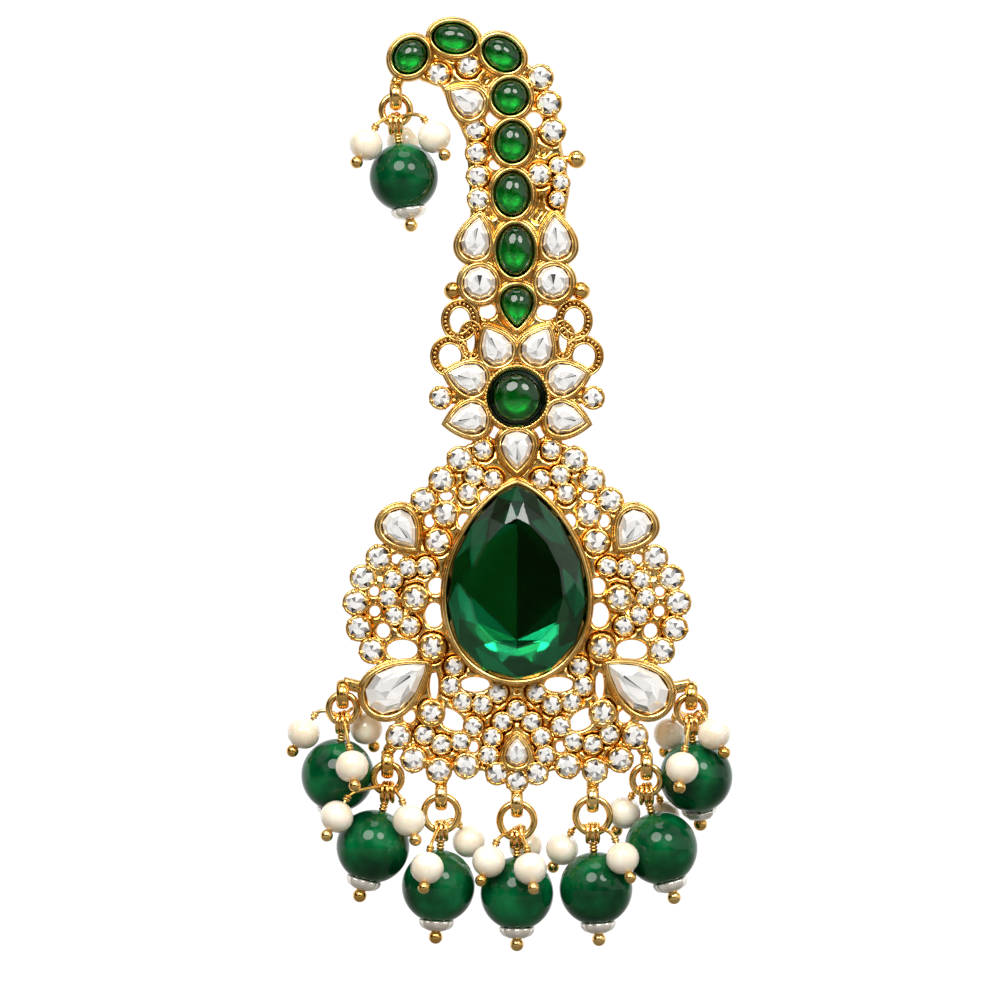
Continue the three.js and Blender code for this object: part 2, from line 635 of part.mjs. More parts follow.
// A pearl that rests on the bead, on a pin bent down from the loop to it, with its end ball.
function pearlOnPin({ low, beadAt, bead, loopRadius }, pearl) {
  const turn = radians(pearl.round);
  const out = new THREE.Vector3(Math.sin(turn), -Math.cos(turn), 0);
  const toBead = beadAt.clone().sub(low);
  const rest = bead / 2 + pearlDiameter / 2 + restGap;
  const forward = out.x * toBead.x + out.y * toBead.y;
  const under = toBead.x ** 2 + toBead.y ** 2 + (toBead.z + pearl.low) ** 2 - rest ** 2;
  const reach = forward + Math.sqrt(forward ** 2 - under);
  const center = low.clone().addScaledVector(out, reach).add(new THREE.Vector3(0, 0, -pearl.low));
  const tilt = radians(pearlTilt);
  const axis = out.clone().multiplyScalar(Math.sin(tilt)).add(new THREE.Vector3(0, 0, -Math.cos(tilt)));
  const top = center.clone().addScaledVector(axis, -pearlDiameter / 2 - pinWire);
  const end = center.clone().addScaledVector(axis, pearlDiameter / 2 + ballDiameter * ballSink);
  const wall = loopRadius + loopBand / 2;
  const start = low.clone().add(new THREE.Vector3(
    out.x * loopWidth * pinAside,
    Math.sign(out.y) * wall * Math.sin(radians(pinSpread)),
    -wall * Math.cos(radians(pinSpread)),
  ));
  return [
    rod(start, top, pinWire, pinSides),
    rod(top.clone().addScaledVector(axis, -pinWire / 2), end, pinWire, pinSides),
    ball(center, pearlDiameter, ballSides, 4),
    ball(end, ballDiameter, endSides, endSides / 2),
  ].map(solidOf);
}

// The bead's head pin with its loop, cap and end ball, and the pearls' pins, all in one piece.
function spray(frame) {
  const { low, beadAt, bead, down, loopRadius } = frame;
  const wall = loopRadius + loopBand / 2;
  const capTop = bead / 2 + capGap;
  const capAt = beadAt.clone().addScaledVector(down, capTop + capHeight / 2);
  const turn = new THREE.Quaternion().setFromUnitVectors(new THREE.Vector3(0, -1, 0), down);
  const cap = new THREE.CylinderGeometry(capDiameter / 2, capDiameter / 4, capHeight, ballSides);
  const ballAt = beadAt.clone().addScaledVector(down, capTop + capHeight + ballDiameter * ballSink);
  return geometryOf(join([
    solidOf(bandAround(low, loopRadius, loopBand, loopWidth)),
    solidOf(rod(low.clone().addScaledVector(down, wall), ballAt, pinWire, pinSides)),
    solidOf(cap.applyQuaternion(turn).translate(...capAt.toArray())),
    solidOf(ball(ballAt, ballDiameter, endSides, endSides / 2)),
    ...frame.pearls.flatMap((pearl) => pearlOnPin(frame, pearl)),
  ]));
}

// The bent wire behind the plate: a flat foot, a bend away from the plate and a straight prong.
function turbanPin() {
  const top = footHeight / 2 - turbanWire / 2;
  const bend = turbanStandoff * bendShare;
  const path = new THREE.CurvePath();
  const at = (y, z) => new THREE.Vector3(0, y, z);
  path.add(new THREE.LineCurve3(at(footGap + footThickness / 2, top), at(turbanStandoff - bend, top)));
  path.add(new THREE.QuadraticBezierCurve3(
    at(turbanStandoff - bend, top), at(turbanStandoff, top), at(turbanStandoff, top - bend),
  ));
  path.add(new THREE.LineCurve3(at(turbanStandoff, top - bend), at(turbanStandoff, top - turbanPinLength)));
  const section = new THREE.Shape(around(new THREE.Vector2(), turbanWire / 2, wireSides + 1));
  const wire = new THREE.ExtrudeGeometry(section, { steps: 12, extrudePath: path, bevelEnabled: false });
  const foot = new THREE.BoxGeometry(footWidth, footThickness, footHeight);
  foot.translate(0, footGap + footThickness / 2, 0);
  const tip = ball(at(turbanStandoff, top - turbanPinLength), turbanWire * tipSwell, wireSides + 1, 4);
  return geometryOf(join([solidOf(wire), solidOf(foot), solidOf(tip)]));
}

// A named piece with its own material.
function piece(name, geometry, finish) {
  const mesh = new THREE.Mesh(geometry, new THREE.MeshStandardMaterial({ ...finish, flatShading: true }));
  mesh.name = name;
  return mesh;
}

const stones = settings();
const frames = [topDrop, ...drops].map(dropFrame);
const ornament = new THREE.Group();
ornament.add(piece('plate', plateGeometry(stones, frames), gold));
const stoneFinish = { cabochon: emerald, centre: emerald, cut: crystal };
for (const stone of stones) ornament.add(piece(stone.name, stoneGeometry(stone), stoneFinish[stone.kind]));
for (const frame of frames) {
  ornament.add(piece(`${frame.name}_ring`, jumpRing(frame), gold));
  ornament.add(piece(`${frame.name}_bead`, drilledBead(frame), beadGreen));
  ornament.add(piece(`${frame.name}_spray`, spray(frame), silver));
}
ornament.add(piece('turban_pin', turbanPin(), gold));

// The finished part has its origin in the middle of the prong that the turban's cloth holds.
const prongMiddle = footHeight / 2 - turbanWire / 2 - turbanPinLength / 2;
ornament.position.set(0, -turbanStandoff, -prongMiddle);

export default ornament;
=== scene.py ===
"""Turban ornament: the looks of a hooked, pierced and gold-plated plate set with green and clear
stones, with green bead and pearl drops. Laid out as an add-on and run as a script."""

import contextlib
import math

import bmesh
import bpy
import numpy as np
from mathutils import Matrix, Vector


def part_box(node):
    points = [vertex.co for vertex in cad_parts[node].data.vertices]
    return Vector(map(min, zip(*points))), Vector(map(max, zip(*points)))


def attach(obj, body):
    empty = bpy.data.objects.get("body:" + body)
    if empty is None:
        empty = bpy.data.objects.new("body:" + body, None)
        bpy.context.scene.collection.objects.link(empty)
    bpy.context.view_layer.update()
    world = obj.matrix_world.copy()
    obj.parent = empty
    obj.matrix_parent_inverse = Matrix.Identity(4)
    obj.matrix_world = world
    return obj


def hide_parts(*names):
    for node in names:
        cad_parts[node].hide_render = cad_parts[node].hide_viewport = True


bl_info = {
    "name": "Turban ornament",
    "version": (1, 0, 0),
    "blender": (4, 5, 0),
    "location": "3D View > Sidebar > Ornament",
    "description": "Dresses the packed turban ornament with gold, stones, beads and pearls",
    "category": "Object",
}

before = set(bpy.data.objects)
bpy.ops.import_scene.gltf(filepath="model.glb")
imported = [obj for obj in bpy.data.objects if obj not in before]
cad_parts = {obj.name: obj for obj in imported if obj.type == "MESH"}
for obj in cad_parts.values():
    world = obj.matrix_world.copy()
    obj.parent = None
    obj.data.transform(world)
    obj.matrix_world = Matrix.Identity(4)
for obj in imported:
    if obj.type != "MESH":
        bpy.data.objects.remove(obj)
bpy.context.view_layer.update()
MM = 0.001


def box_of(node):
    """The lowest and highest corners of a CAD node, in millimetres."""
    low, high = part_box(node)
    return low / MM, high / MM


# The plate's flat back and the middle of its flower set every place.
STANDOFF = -box_of("plate")[1].y
RISE = (sum(box_of("flower_cabochon"), Vector()) / 2).z

# Plate, in millimetres, as the solids have it
NECK_HEIGHT = 46.4
HOOK_REACH = 13.8
FAN_HEIGHT = 49.5
FAN_HALF_WIDTH = 21.0
FACE = 2.0
PETAL_RING = 7.1
FLOWER_DISC = 1.05
BAR_END = 0.469
BAR_HALF = 0.015
SCROLL_BAND = 0.9
CUP_WALL = 0.3
COLLAR_WALL = 0.6
COLLAR_RISE = 0.4
STONE_SIZES = {"large": 2.8, "middle": 2.5, "small": 2.2, "fine": 1.9}

# Bezel-set stones
BEZEL_WALL = 0.45
SEAT_GAP = 0.2
SEAT_FLOOR = 0.8
GIRDLE_DROP = 0.3
BEZEL_RISE = 0.8
CENTRE_RISE = 2.0
CUT_CROWN = 1.1
CABOCHON_DOME = 1.7
CENTRE_CROWN = 2.0
CENTRE_STONE = {
    "kind": "centre", "name": "centre_stone", "width": 18.0, "length": 25.0, "heading": 90,
    "pear": True, "taper": 0.4, "rise": CENTRE_RISE,
}
CENTRE_PLACE = (0, 0.4805)
FLOWER_STONE = 7.4
SMALL_PEAR = ((0, 0.9236), (2.8, 3.6))
PEAR_TAPER = 0.8

# Drops
BEAD = 9.5
TOP_BEAD = 8.9
BEAD_GAP = 0.3
EYE_SPACING = 0.4666
PEARL = 4.3
REST_GAP = 0.25
RING = 5.4
RING_WIRE = 0.95
EYE_BAND = 0.9
EYE_WIDTH = 1.6
LINK_GAP = 0.3
LOOP_WIDTH = 1.7
LOOP_BAND = 0.4
PIN_NECK = 1.05
PIN_WIRE = 0.5
CAP_HEIGHT = 1.0
CAP_GAP = 0.2
DRILL_GAP = 0.3
BALL = 1.8
BALL_SINK = 0.35
PEARL_TILT = 32
PEARL_SQUASH = 0.96

# Wire work of the drops; a wrap is its radius, the step between turns, its wire and its sides.
LOOP_SPREAD = 0.6
LOOP_LEAN = Vector((0, 0.16, 0.1))
HEAD_WRAP = (0.36, 0.42, 0.4, 16)
PEARL_WRAP = (0.34, 0.4, 0.36, 14)
PIN_BEND = 1.6
HOOK = 0.75
HOOK_WIRE = 0.36
HOOK_LEAN = Vector((0.3, 0.2, 0.2))
BEAD_STEPS = 30
CAP_PROFILE = (
    (0.15, 0.0), (1.2, -0.1), (1.9, -0.5), (2.15, -0.62), (2.2, -0.35), (2.1, 0.05), (1.75, 0.5),
    (1.1, 0.8), (0.5, 0.9), (0.15, 0.95),
)
CAP_SIDES = 48
CAP_LOBES = 8
CAP_WAVE = 0.05
CAP_RIM = 2.15

# Grains and rims along the scrolls and round the flower's stone
SCROLL_RIM = 0.3
SCROLL_RIM_AT = FACE - 0.05
SCROLL_GRAIN_AT = FACE - 0.25
GRAIN_SPACING = 1.3
FLOWER_GRAIN = 0.42
FLOWER_GRAINS = 52
FLOWER_GRAIN_OUT = 0.36
CUP_STONE = 2.6  # the middling stone that a cup's wall is set against

# Turban pin
TURBAN_WIRE = 1.8
TURBAN_PIN = 40.0
FOOT = (6.0, 0.8, 4.0)
FOOT_GAP = 0.3
BEND_SHARE = 0.45

# Rows of rhinestones: the ends in shares of the part's named sizes, the bulge in shares of the
# chord, the count and the size. The fan's rows are mirrored.
FAN_ROWS = (
    ((0.469, 0), (0.469, 0), 0, 1, "middle"),
    ((0.353, 0.16), (0.575, 0.268), 0, 3, "large"),
    ((0.211, 0.135), (0.264, 0.202), 0, 2, "small"),
    ((0.149, 0.213), (0.301, 0.249), 0, 2, "small"),
    ((0.441, 0.303), (0.488, 0.375), 0, 2, "large"),
    ((0.851, 0.417), (0.893, 0.66), 0.21, 5, "large"),
    ((0.559, 0.441), (0.659, 0.596), 0.49, 6, "small"),
    ((0.385, 0.701), (0.119, 0.77), 0.52, 5, "small"),
    ((0.57, 0.879), (0.269, 0.858), 0.29, 4, "small"),
    ((0.09, 0.846), (0.175, 0.933), 0.09, 3, "small"),
    ((0.729, 0.884), (0.312, 0.961), 0.235, 4, "large"),
    ((0.123, 0.981), (0.123, 0.981), 0, 1, "middle"),
)
FAN_COLLARS = ((0.626, 0.523), (0.522, 0.651), (0.527, 0.823))
AXIS_STONES = (((0, 0.8155), "small"), ((0, 1), "middle"))
NECK_ROWS = (
    ((-0.74, 0.903), (-0.453, 0.925), 0, 2, "middle"),
    ((-0.388, 0.747), (-0.359, 0.553), 0, 4, "middle"),
    ((0.222, 0.893), (0.337, 0.743), 0.04, 3, "large"),
    ((0.384, 0.647), (0.381, 0.553), 0.1, 3, "fine"),
    ((0.21, 0.622), (0.21, 0.622), 0, 1, "middle"),
)

NECK_LEFT = (
    (-1, 0.95), (-0.907, 0.887), (-0.72, 0.868), (-0.57, 0.779), (-0.477, 0.717),
    (-0.449, 0.606), (-0.44, 0.517), (-0.477, 0.411), (-0.44, 0.3),
)
NECK_FOOT = ((-0.505, 0.9), (0.505, 0.9))
NECK_RIGHT = (
    (0.42, 0.3), (0.458, 0.411), (0.458, 0.517), (0.495, 0.578), (0.458, 0.648), (0.41, 0.717),
    (0.374, 0.8), (0.28, 0.87), (0.1, 0.935), (-0.14, 0.985), (-0.36, 0.995), (-0.589, 1.01),
)
FAN_WEB_HALF = (
    (0, 1), (0.123, 0.985), (0.312, 0.965), (0.469, 0.98), (0.623, 0.95), (0.729, 0.884),
    (0.8, 0.77), (0.9, 0.66), (1, 0.6), (1, 0.5), (0.87, 0.41), (0.8, 0.38), (0.78, 0.3),
    (0.6, 0.26), (0.5, 0.2), (0.38, 0.15), (0.3, 0.12), (0, 0.08),
)
# See-through gaps: place, width and height in shares of the half width or reach, and turn.
FAN_GAPS = (
    ((0.135, 0.087), 0.086, 0.086, 0), ((0.436, 0.256), 0.075, 0.055, 0),
    ((0.538, 0.321), 0.061, 0.08, 0), ((0.326, 0.321), 0.074, 0.086, 0),
    ((0.197, 0.258), 0.061, 0.074, 0), ((0.737, 0.421), 0.08, 0.06, 0),
    ((0.826, 0.462), 0.06, 0.06, 0), ((0.879, 0.505), 0.06, 0.06, 0),
    ((0.876, 0.557), 0.065, 0.065, 0), ((0.823, 0.608), 0.08, 0.09, 0),
    ((0.707, 0.658), 0.19, 0.12, 0), ((0.498, 0.491), 0.09, 0.1, 30),
    ((0.51, 0.567), 0.11, 0.15, 0), ((0.705, 0.548), 0.06, 0.08, 0),
    ((0.51, 0.752), 0.05, 0.17, 0), ((0.258, 0.749), 0.18, 0.09, 0),
    ((0.406, 0.84), 0.19, 0.11, 35), ((0.664, 0.832), 0.075, 0.08, 0),
    ((0.269, 0.912), 0.06, 0.07, 0),
)
NECK_GAPS = (
    ((-0.231, 0.778), 0.12, 0.14, 0), ((0.159, 0.775), 0.16, 0.15, 0),
    ((-0.2, 0.651), 0.12, 0.1, 0), ((-0.29, 0.887), 0.08, 0.08, 0),
    ((-0.23, 0.515), 0.07, 0.09, 0), ((-0.275, 0.2425), 0.15, 0.14, 0),
    ((0.275, 0.239), 0.18, 0.14, 0),
)
SCROLLS = (((1.04, 1.41), 0.4, 0.49), ((1.22, 0.76), 0.436, 0.47), ((0.84, 1.05), 0.18, 0.455))
STUDS = (
    ((0.56, 0.666), (0.4, 0.666)), ((0.6, 0.299), (0.36, 0.299)),
    ((-0.6, 0.299), (-0.36, 0.299)),
)
STUD = 2.4
STUD_STEM = 1.0

# Bezel-set stones: name, place, width, length, heading and whether it is a pear.
CABOCHONS = (
    ("cabochon_1", (-1, 0.95), 4, 4.7, 48, False),
    ("cabochon_2", (-0.589, 1), 3.8, 5.5, -8, False),
    ("cabochon_3", (-0.14, 0.956), 4, 5.2, -35, False),
    ("cabochon_4", (-0.062, 0.837), 4.5, 4.5, 90, False),
    ("cabochon_5", (-0.042, 0.711), 4.4, 5.2, 90, False),
    ("cabochon_6", (-0.045, 0.567), 4.5, 5.7, 90, False),
    ("cabochon_7", (-0.015, 0.41), 4.7, 6.6, 90, False),
    ("cabochon_8", (0, 0.2525), 4, 5.3, -90, True),
)
NECK_STONES = (
    ("hook_pear", (-0.477, 0.826), 3.7, 4.6, 149, True),
    ("neck_pear_left", (-0.383, 0.445), 3.7, 5.4, 81, True),
    ("neck_pear_right", (0.37, 0.445), 3.7, 5.4, 96, True),
    ("neck_round_left", (-0.348, 0.319), 4.2, 4.2, 90, False),
    ("neck_round_right", (0.34, 0.322), 4.2, 4.2, 90, False),
)
PETALS = (
    ("upper_petal", 23, 1.02, 28), ("middle_petal", 68.5, 0.98, 76),
    ("lower_petal", 113.5, 0.98, 101),
)
BOTTOM_PETAL = ("bottom_petal", 180, 0.96, 180)
PETAL_SIZE = (4.0, 5.0)
FAN_PEARS = (
    ("side_pear", (0.71, 0.345), 4.2, 5.4, 233.5), ("low_pear", (0.737, 0.7505), 5.5, 9, 144),
)

# Drops: name, place in bead pitches and share of the fan's height, ring's share, lean, back, and
# each pearl's degrees round from the front with its depth under the ring.
DROPS = (
    ("drop_1", (-2.3, 0.775), (-0.808, 0.772), 0.85, -6, 16, ((-100, 1.4), (140, 1), (16, 5.4))),
    ("drop_2", (-1.71, 0.957), (-0.729, 0.884), 0.85, -15, 0, ((-60, 2.9), (36, 3.4))),
    ("drop_3", (-1, 1.041), (-0.469, 0.977), 1, -3, 0, ((-15, 4.3), (120, 1.6))),
    ("drop_4", (0, 1.06), (0, 1), 1, 0, 0, ((-41, 2.7), (16, 3.5), (164, 1.4))),
    ("drop_5", (1, 1.047), (0.469, 0.977), 1, 3.4, 0, ((-128, 2.4), (39, 2.9))),
    ("drop_6", (1.71, 0.962), (0.729, 0.884), 0.85, 15, 0, ((-140, 2.7), (158, 3.4))),
    ("drop_7", (2.3, 0.779), (0.808, 0.772), 0.85, 6, 16, ((60, 1.2), (-155, 1.6), (-16, 5.4))),
)
TOP_DROP = (
    "top_drop", (-1.136, 0.843), (-1, 0.95), 0.85, 8.5, 0, ((-53, 2.9), (64, 1.9), (170, 1.9)),
)


def on_fan(x, z):
    return Vector((x * FAN_HALF_WIDTH, -z * FAN_HEIGHT))


def on_neck(x, z):
    return Vector((x * HOOK_REACH, z * NECK_HEIGHT))


def on_flower(x, z):
    return Vector((x * PETAL_RING, z * PETAL_RING))


def mirrored(p):
    return Vector((-p.x, p.y))


def at_depth(x, depth, z):
    """A point of the plate's drawing, a depth in front of its back, in the row frame in metres."""
    return Vector((x, -STANDOFF - depth, z + RISE)) * MM


# Mesh helpers

UP = Vector((0, 0, 1))
RIGHT = Vector((1, 0, 0))
FRONT = Vector((0, -1, 0))
BACK = Vector((0, 1, 0))


def add_piece(name, mesh, *looks, smooth=True):
    """A new object of a mesh, with its finishes by their plain names."""
    for look in looks:
        mesh.materials.append(finish(look))
    mesh.polygons.foreach_set("use_smooth", [smooth] * len(mesh.polygons))
    mesh.update()
    piece = bpy.data.objects.new(name, mesh)
    bpy.context.scene.collection.objects.link(piece)
    return piece


def add_mesh(name, points, faces, *looks, smooth=True):
    """A new object from points in metres."""
    mesh = bpy.data.meshes.new(name)
    mesh.from_pydata([tuple(p) for p in points], [], faces)
    return add_piece(name, mesh, *looks, smooth=smooth)


def finish_piece(piece, slot, *nodes):
    """Says what the piece rides on and stands for. slot, the finish the piece would take, is not
    used.
    """
    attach(piece, "root")
    if nodes:
        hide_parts(*nodes)


def on_plate(*pieces):
    """Finishes pieces of the gold plate."""
    for piece in pieces:
        finish_piece(piece, "gold_plate", "plate")


@contextlib.contextmanager
def editing(mesh):
    """A mesh opened for edits, and written back after them."""
    work = bmesh.new()
    work.from_mesh(mesh)
    yield work
    work.to_mesh(mesh)
    work.free()


def outward(piece):
    """Merges doubles and turns every face outwards."""
    with editing(piece.data) as work:
        bmesh.ops.remove_doubles(work, verts=work.verts, dist=1e-7)
        bmesh.ops.recalc_face_normals(work, faces=work.faces)
    return piece


def triangulated(piece, only_quads=False):
    """Splits faces into flat triangles that face outwards, as cut facets are."""
    with editing(piece.data) as work:
        bmesh.ops.recalc_face_normals(work, faces=work.faces)
        faces = [face for face in work.faces if len(face.verts) == 4 or not only_quads]
        bmesh.ops.triangulate(work, faces=faces, quad_method="SHORT_EDGE")


def joined(name, pieces):
    """One object from several, keeping their materials."""
    bpy.ops.object.select_all(action="DESELECT")
    for piece in pieces:
        piece.select_set(True)
    bpy.context.view_layer.objects.active = pieces[0]
    bpy.ops.object.join()
    pieces[0].name = name
    pieces[0].data.name = name
    return pieces[0]


def outline(stone, count, grow=0.0):
    """A stone's outline round its middle, counter-clockwise seen from the front."""
    long = stone["length"] / 2 + grow
    wide = stone["width"] / 2 + grow
    taper = stone.get("taper", PEAR_TAPER)
    peak = 2 * ((taper + 1) / (taper + 2)) ** ((taper + 1) / 2) / math.sqrt(taper + 2)
    turn = Matrix.Rotation(math.radians(stone["heading"] - 90), 2)
    points = []
    for i in range(count):
        t = 2 * math.pi * i / count
        across = math.sin(t)
        if stone.get("pear"):
            across *= abs(math.sin(t / 2)) ** taper / peak
        points.append(turn @ Vector((-wide * across, long * math.cos(t))))
    return points


def ring_points(center, radius, count):
    steps = [2 * math.pi * (i + 0.5) / count for i in range(count)]
    return [center + Vector((radius * math.cos(t), radius * math.sin(t))) for t in steps]


def around(axis, start, count, turn=0.0):
    """Directions about an axis from a first one. turn moves them by a share of a step."""
    axis = axis.normalized()
    start = (start - axis * start.dot(axis)).normalized()
    other = axis.cross(start)
    steps = [2 * math.pi * (i + turn) / count for i in range(count)]
    return [start * math.cos(t) + other * math.sin(t) for t in steps]


def circle(center, radius, axis, start, count, turn=0.0):
    """Points of a circle about an axis: the middle in metres, the radius in millimetres."""
    return [center + out * radius * MM for out in around(axis, start, count, turn)]


def stacked(rings, close="both"):
    """Points and faces through rings of the same count, from back to front. Points in metres.

    close caps both ends, the back or none, or joins the last ring to the first in a loop."""
    count = len(rings[0])
    points = [p for ring in rings for p in ring]
    faces = []
    for k in range(len(rings) - (close != "loop")):
        for i in range(count):
            a, b = k * count + i, k * count + (i + 1) % count
            faces.append(tuple(corner % len(points) for corner in (a, b, b + count, a + count)))
    if close in ("both", "back"):
        faces.append(tuple(reversed(range(count))))
    if close == "both":
        faces.append(tuple(range(len(points) - count, len(points))))
    return points, faces


def loft(name, rings, look, close="both", smooth=True):
    return add_mesh(name, *stacked(rings, close), look, smooth=smooth)


def tube(name, path, width, look="wire", sides=8, closed=False, shares=None):
    """A round wire along points in metres; shares gives the width's share at each point."""
    count = len(path)
    rings, side = [], None
    for i, p in enumerate(path):
        after = path[(i + 1) % count] if closed or i + 1 < count else p
        before = path[i - 1] if closed or i else p
        along = (after - before).normalized()
        if side is None:
            side = along.orthogonal().normalized()
        side = (side - along * side.dot(along)).normalized()
        rings.append(circle(p, width / 2 * (shares[i] if shares else 1), along, side, sides))
    return outward(loft(name, rings, look, "loop" if closed else "both"))


def sphere(name, center, diameter, look="wire", rows=16, squash=1.0, axis=UP):
    """A ball about a point in metres; squash flattens it along its axis."""
    sides, radius = 2 * rows, diameter / 2
    rings = []
    for i in range(1, rows):
        t = math.pi * i / rows
        middle = UP * -math.cos(t) * radius * MM
        rings.append(circle(middle, math.sin(t) * radius, UP, BACK, sides))
    points, faces = stacked(rings, "none")
    for pole, first in ((-1, 0), (1, len(points) - sides)):
        points.append(UP * pole * radius * MM)
        for i in range(sides):
            edge = (first + i, first + (i + 1) % sides)[::pole]
            faces.append((*edge, len(points) - 1))
    ball = add_mesh(name, points, faces, look)
    turn = UP.rotation_difference(axis).to_matrix().to_4x4()
    ball.data.transform(Matrix.Translation(center) @ turn @ Matrix.Diagonal((1, 1, squash, 1)))
    return ball


def evenly(path, count):
    """Points at even spaces along a closed path."""
    ends = path[1:] + path[:1]
    lengths = [(b - a).length for a, b in zip(path, ends)]
    step = sum(lengths) / count
    found, walked, wanted = [], 0.0, 0.0
    for a, b, length in zip(path, ends, lengths):
        while wanted <= walked + length and len(found) < count:
            found.append(a.lerp(b, (wanted - walked) / length))
            wanted += step
        walked += length
    return found


# Places of the stones


def row_places(row, place):
    """Even places along a row's arc."""
    start, end = place(*row[0]), place(*row[1])
    bulge, count = row[2], row[3]
    if count == 1:
        return [start]
    chord = end - start
    side = Vector((-chord.y, chord.x))
    half = 2 * math.atan(2 * bulge)
    places = []
    for i in range(count):
        along, out = i / (count - 1), 0
        if bulge:
            angle = half * (2 * along - 1)
            along = 0.5 + math.sin(angle) / (2 * math.sin(half))
            out = (math.cos(angle) - math.cos(half)) / (2 * math.sin(half))
        places.append(start + chord * along + side * out)
    return places


def rhinestones():
    """Every rhinestone as (place, size, wall, rise)."""
    found = []

    def add(places, size, wall=CUP_WALL, rise=0, both=False):
        for at in places:
            for spot in (at, mirrored(at)) if both else (at,):
                found.append((spot, STONE_SIZES[size], wall, rise))

    for row in FAN_ROWS:
        add(row_places(row, on_fan), row[4], both=True)
    for share in FAN_COLLARS:
        add([on_fan(*share)], "middle", COLLAR_WALL, COLLAR_RISE, both=True)
    for share, size in AXIS_STONES:
        add([on_fan(*share)], size)
    for row in NECK_ROWS:
        add(row_places(row, on_neck), row[4])
    return found


def bezel_stones():
    """Every bezel-set stone as a dictionary with its kind, place and rise."""
    found = []

    def add(kind, name, at, width, length, heading, pear):
        found.append({
            "kind": kind, "name": name, "at": at, "width": width, "length": length,
            "heading": heading, "pear": pear, "rise": BEZEL_RISE,
        })

    for name, share, *rest in CABOCHONS:
        add("cabochon", name, on_neck(*share), *rest)
    add("cabochon", "flower_cabochon", Vector((0, 0)), FLOWER_STONE, FLOWER_STONE, 90, False)
    for name, share, *rest in NECK_STONES:
        add("cut", name, on_neck(*share), *rest)
    for name, round_, reach, points in PETALS + (BOTTOM_PETAL,):
        both = (("_left", -1), ("_right", 1))
        for side, sign in both if name != "bottom_petal" else (("", 1),):
            turn = math.radians(round_)
            at = on_flower(sign * reach * math.sin(turn), reach * math.cos(turn))
            add("cut", name + side, at, *PETAL_SIZE, 90 - sign * points, True)
    for name, share, width, length, heading in FAN_PEARS:
        at = on_fan(*share)
        add("cut", name + "_right", at, width, length, heading, True)
        add("cut", name + "_left", mirrored(at), width, length, 180 - heading, True)
    add("cut", "small_pear", on_fan(*SMALL_PEAR[0]), *SMALL_PEAR[1], 90, True)
    found.append(dict(CENTRE_STONE, at=on_fan(*CENTRE_PLACE)))
    return found


# Cast web, worked out as heights on a fine grid over the plate's face

WEB_PITCH = 0.25
WEB_FLOOR = 1.2
RIM_RADIUS = 0.4
RIM_LIFT = 0.25
WIRE_RADIUS = 0.3  # cast wire round each cup
WIRE_SHARE = 0.9
PIERCED_FROM = 0.95  # clear of a stone's setting and of the edge, the cast is pierced
SCROLL_GROOVE = 0.3
GROOVE_RUN = 0.2
LEAST_GAP = 9  # a smaller gap, in cells of the grid, is filled
LEAST_SLOPE = 0.5
FAR_OUT = -9.0


def edge_distance(points, x, z):
    """Distance in from a closed outline, negative outside it."""
    nearest = np.full(x.shape, 1e9)
    inside = np.zeros(x.shape, bool)
    for a, b in zip(points, points[1:] + points[:1]):
        run, climb = b.x - a.x, b.y - a.y
        px, pz = x - a.x, z - a.y
        share = np.clip((px * run + pz * climb) / (run * run + climb * climb + 1e-12), 0, 1)
        nearest = np.minimum(nearest, (px - share * run) ** 2 + (pz - share * climb) ** 2)
        level = climb if abs(climb) > 1e-12 else 1e-12
        inside ^= ((a.y > z) != (b.y > z)) & (px < pz * run / level)
    return np.sqrt(nearest) * np.where(inside, 1, -1)


def window(points, xs, zs, margin=2.0):
    """The part of the grid near an outline."""
    west, east = min(p.x for p in points) - margin, max(p.x for p in points) + margin
    low, high = min(p.y for p in points) - margin, max(p.y for p in points) + margin
    i = slice(np.searchsorted(xs, west), np.searchsorted(xs, east))
    j = slice(np.searchsorted(zs, low), np.searchsorted(zs, high))
    return j, i


def placed(points, at):
    return [p + at for p in points]


def oval(width, height, turn=0.0):
    return {"width": width, "length": height, "heading": 90 + turn}


def drop_frames():
    """Each drop's eye, ring, bead and pearls, as the solids have them. Millimetres."""
    frames = []
    for drop in (TOP_DROP,) + DROPS:
        name, place, anchor, share, lean, back, pearls = drop
        top = name == "top_drop"
        pitch = max(BEAD + BEAD_GAP, EYE_SPACING * FAN_HALF_WIDTH)
        at = on_neck(*place) if top else Vector((place[0] * pitch, -place[1] * FAN_HEIGHT))
        bead = TOP_BEAD if top else BEAD
        radius = (share * RING - RING_WIRE) / 2
        ring = Vector((at.x, FACE / 2, at.y - radius))
        low = ring - Vector((0, 0, radius))
        loop = clear_of_ring(radius, LOOP_WIDTH)
        aside, behind = math.tan(math.radians(lean)), math.tan(math.radians(back))
        down = Vector((aside, -behind, -1)).normalized()
        bead_at = low + down * (loop + LOOP_BAND + PIN_NECK + bead / 2)
        frames.append({
            "name": name, "bead": bead, "eye": Vector((at.x, FACE / 2, at.y)), "ring": ring,
            "anchor": on_neck(*anchor) if top else on_fan(*anchor), "radius": radius,
            "eye_radius": clear_of_ring(radius, EYE_WIDTH), "low": low, "loop": loop, "down": down,
            "bead_at": bead_at, "pearls": pearls,
        })
    return frames


def clear_of_ring(radius, width):
    """The inner radius of a band of some width that a ring's bent wire passes through."""
    rise = radius - math.sqrt(radius ** 2 - (width / 2) ** 2)
    return (RING_WIRE / 2 + rise + LINK_GAP) / math.cos(math.pi / 8)


def put(v):
    """A point of the drops' drawing (x, depth, z) in the row frame in metres."""
    return at_depth(v.x, v.y, v.z)


def turned(v):
    """A direction of the drops' drawing in the row frame."""
    return Vector((v.x, -v.y, v.z))


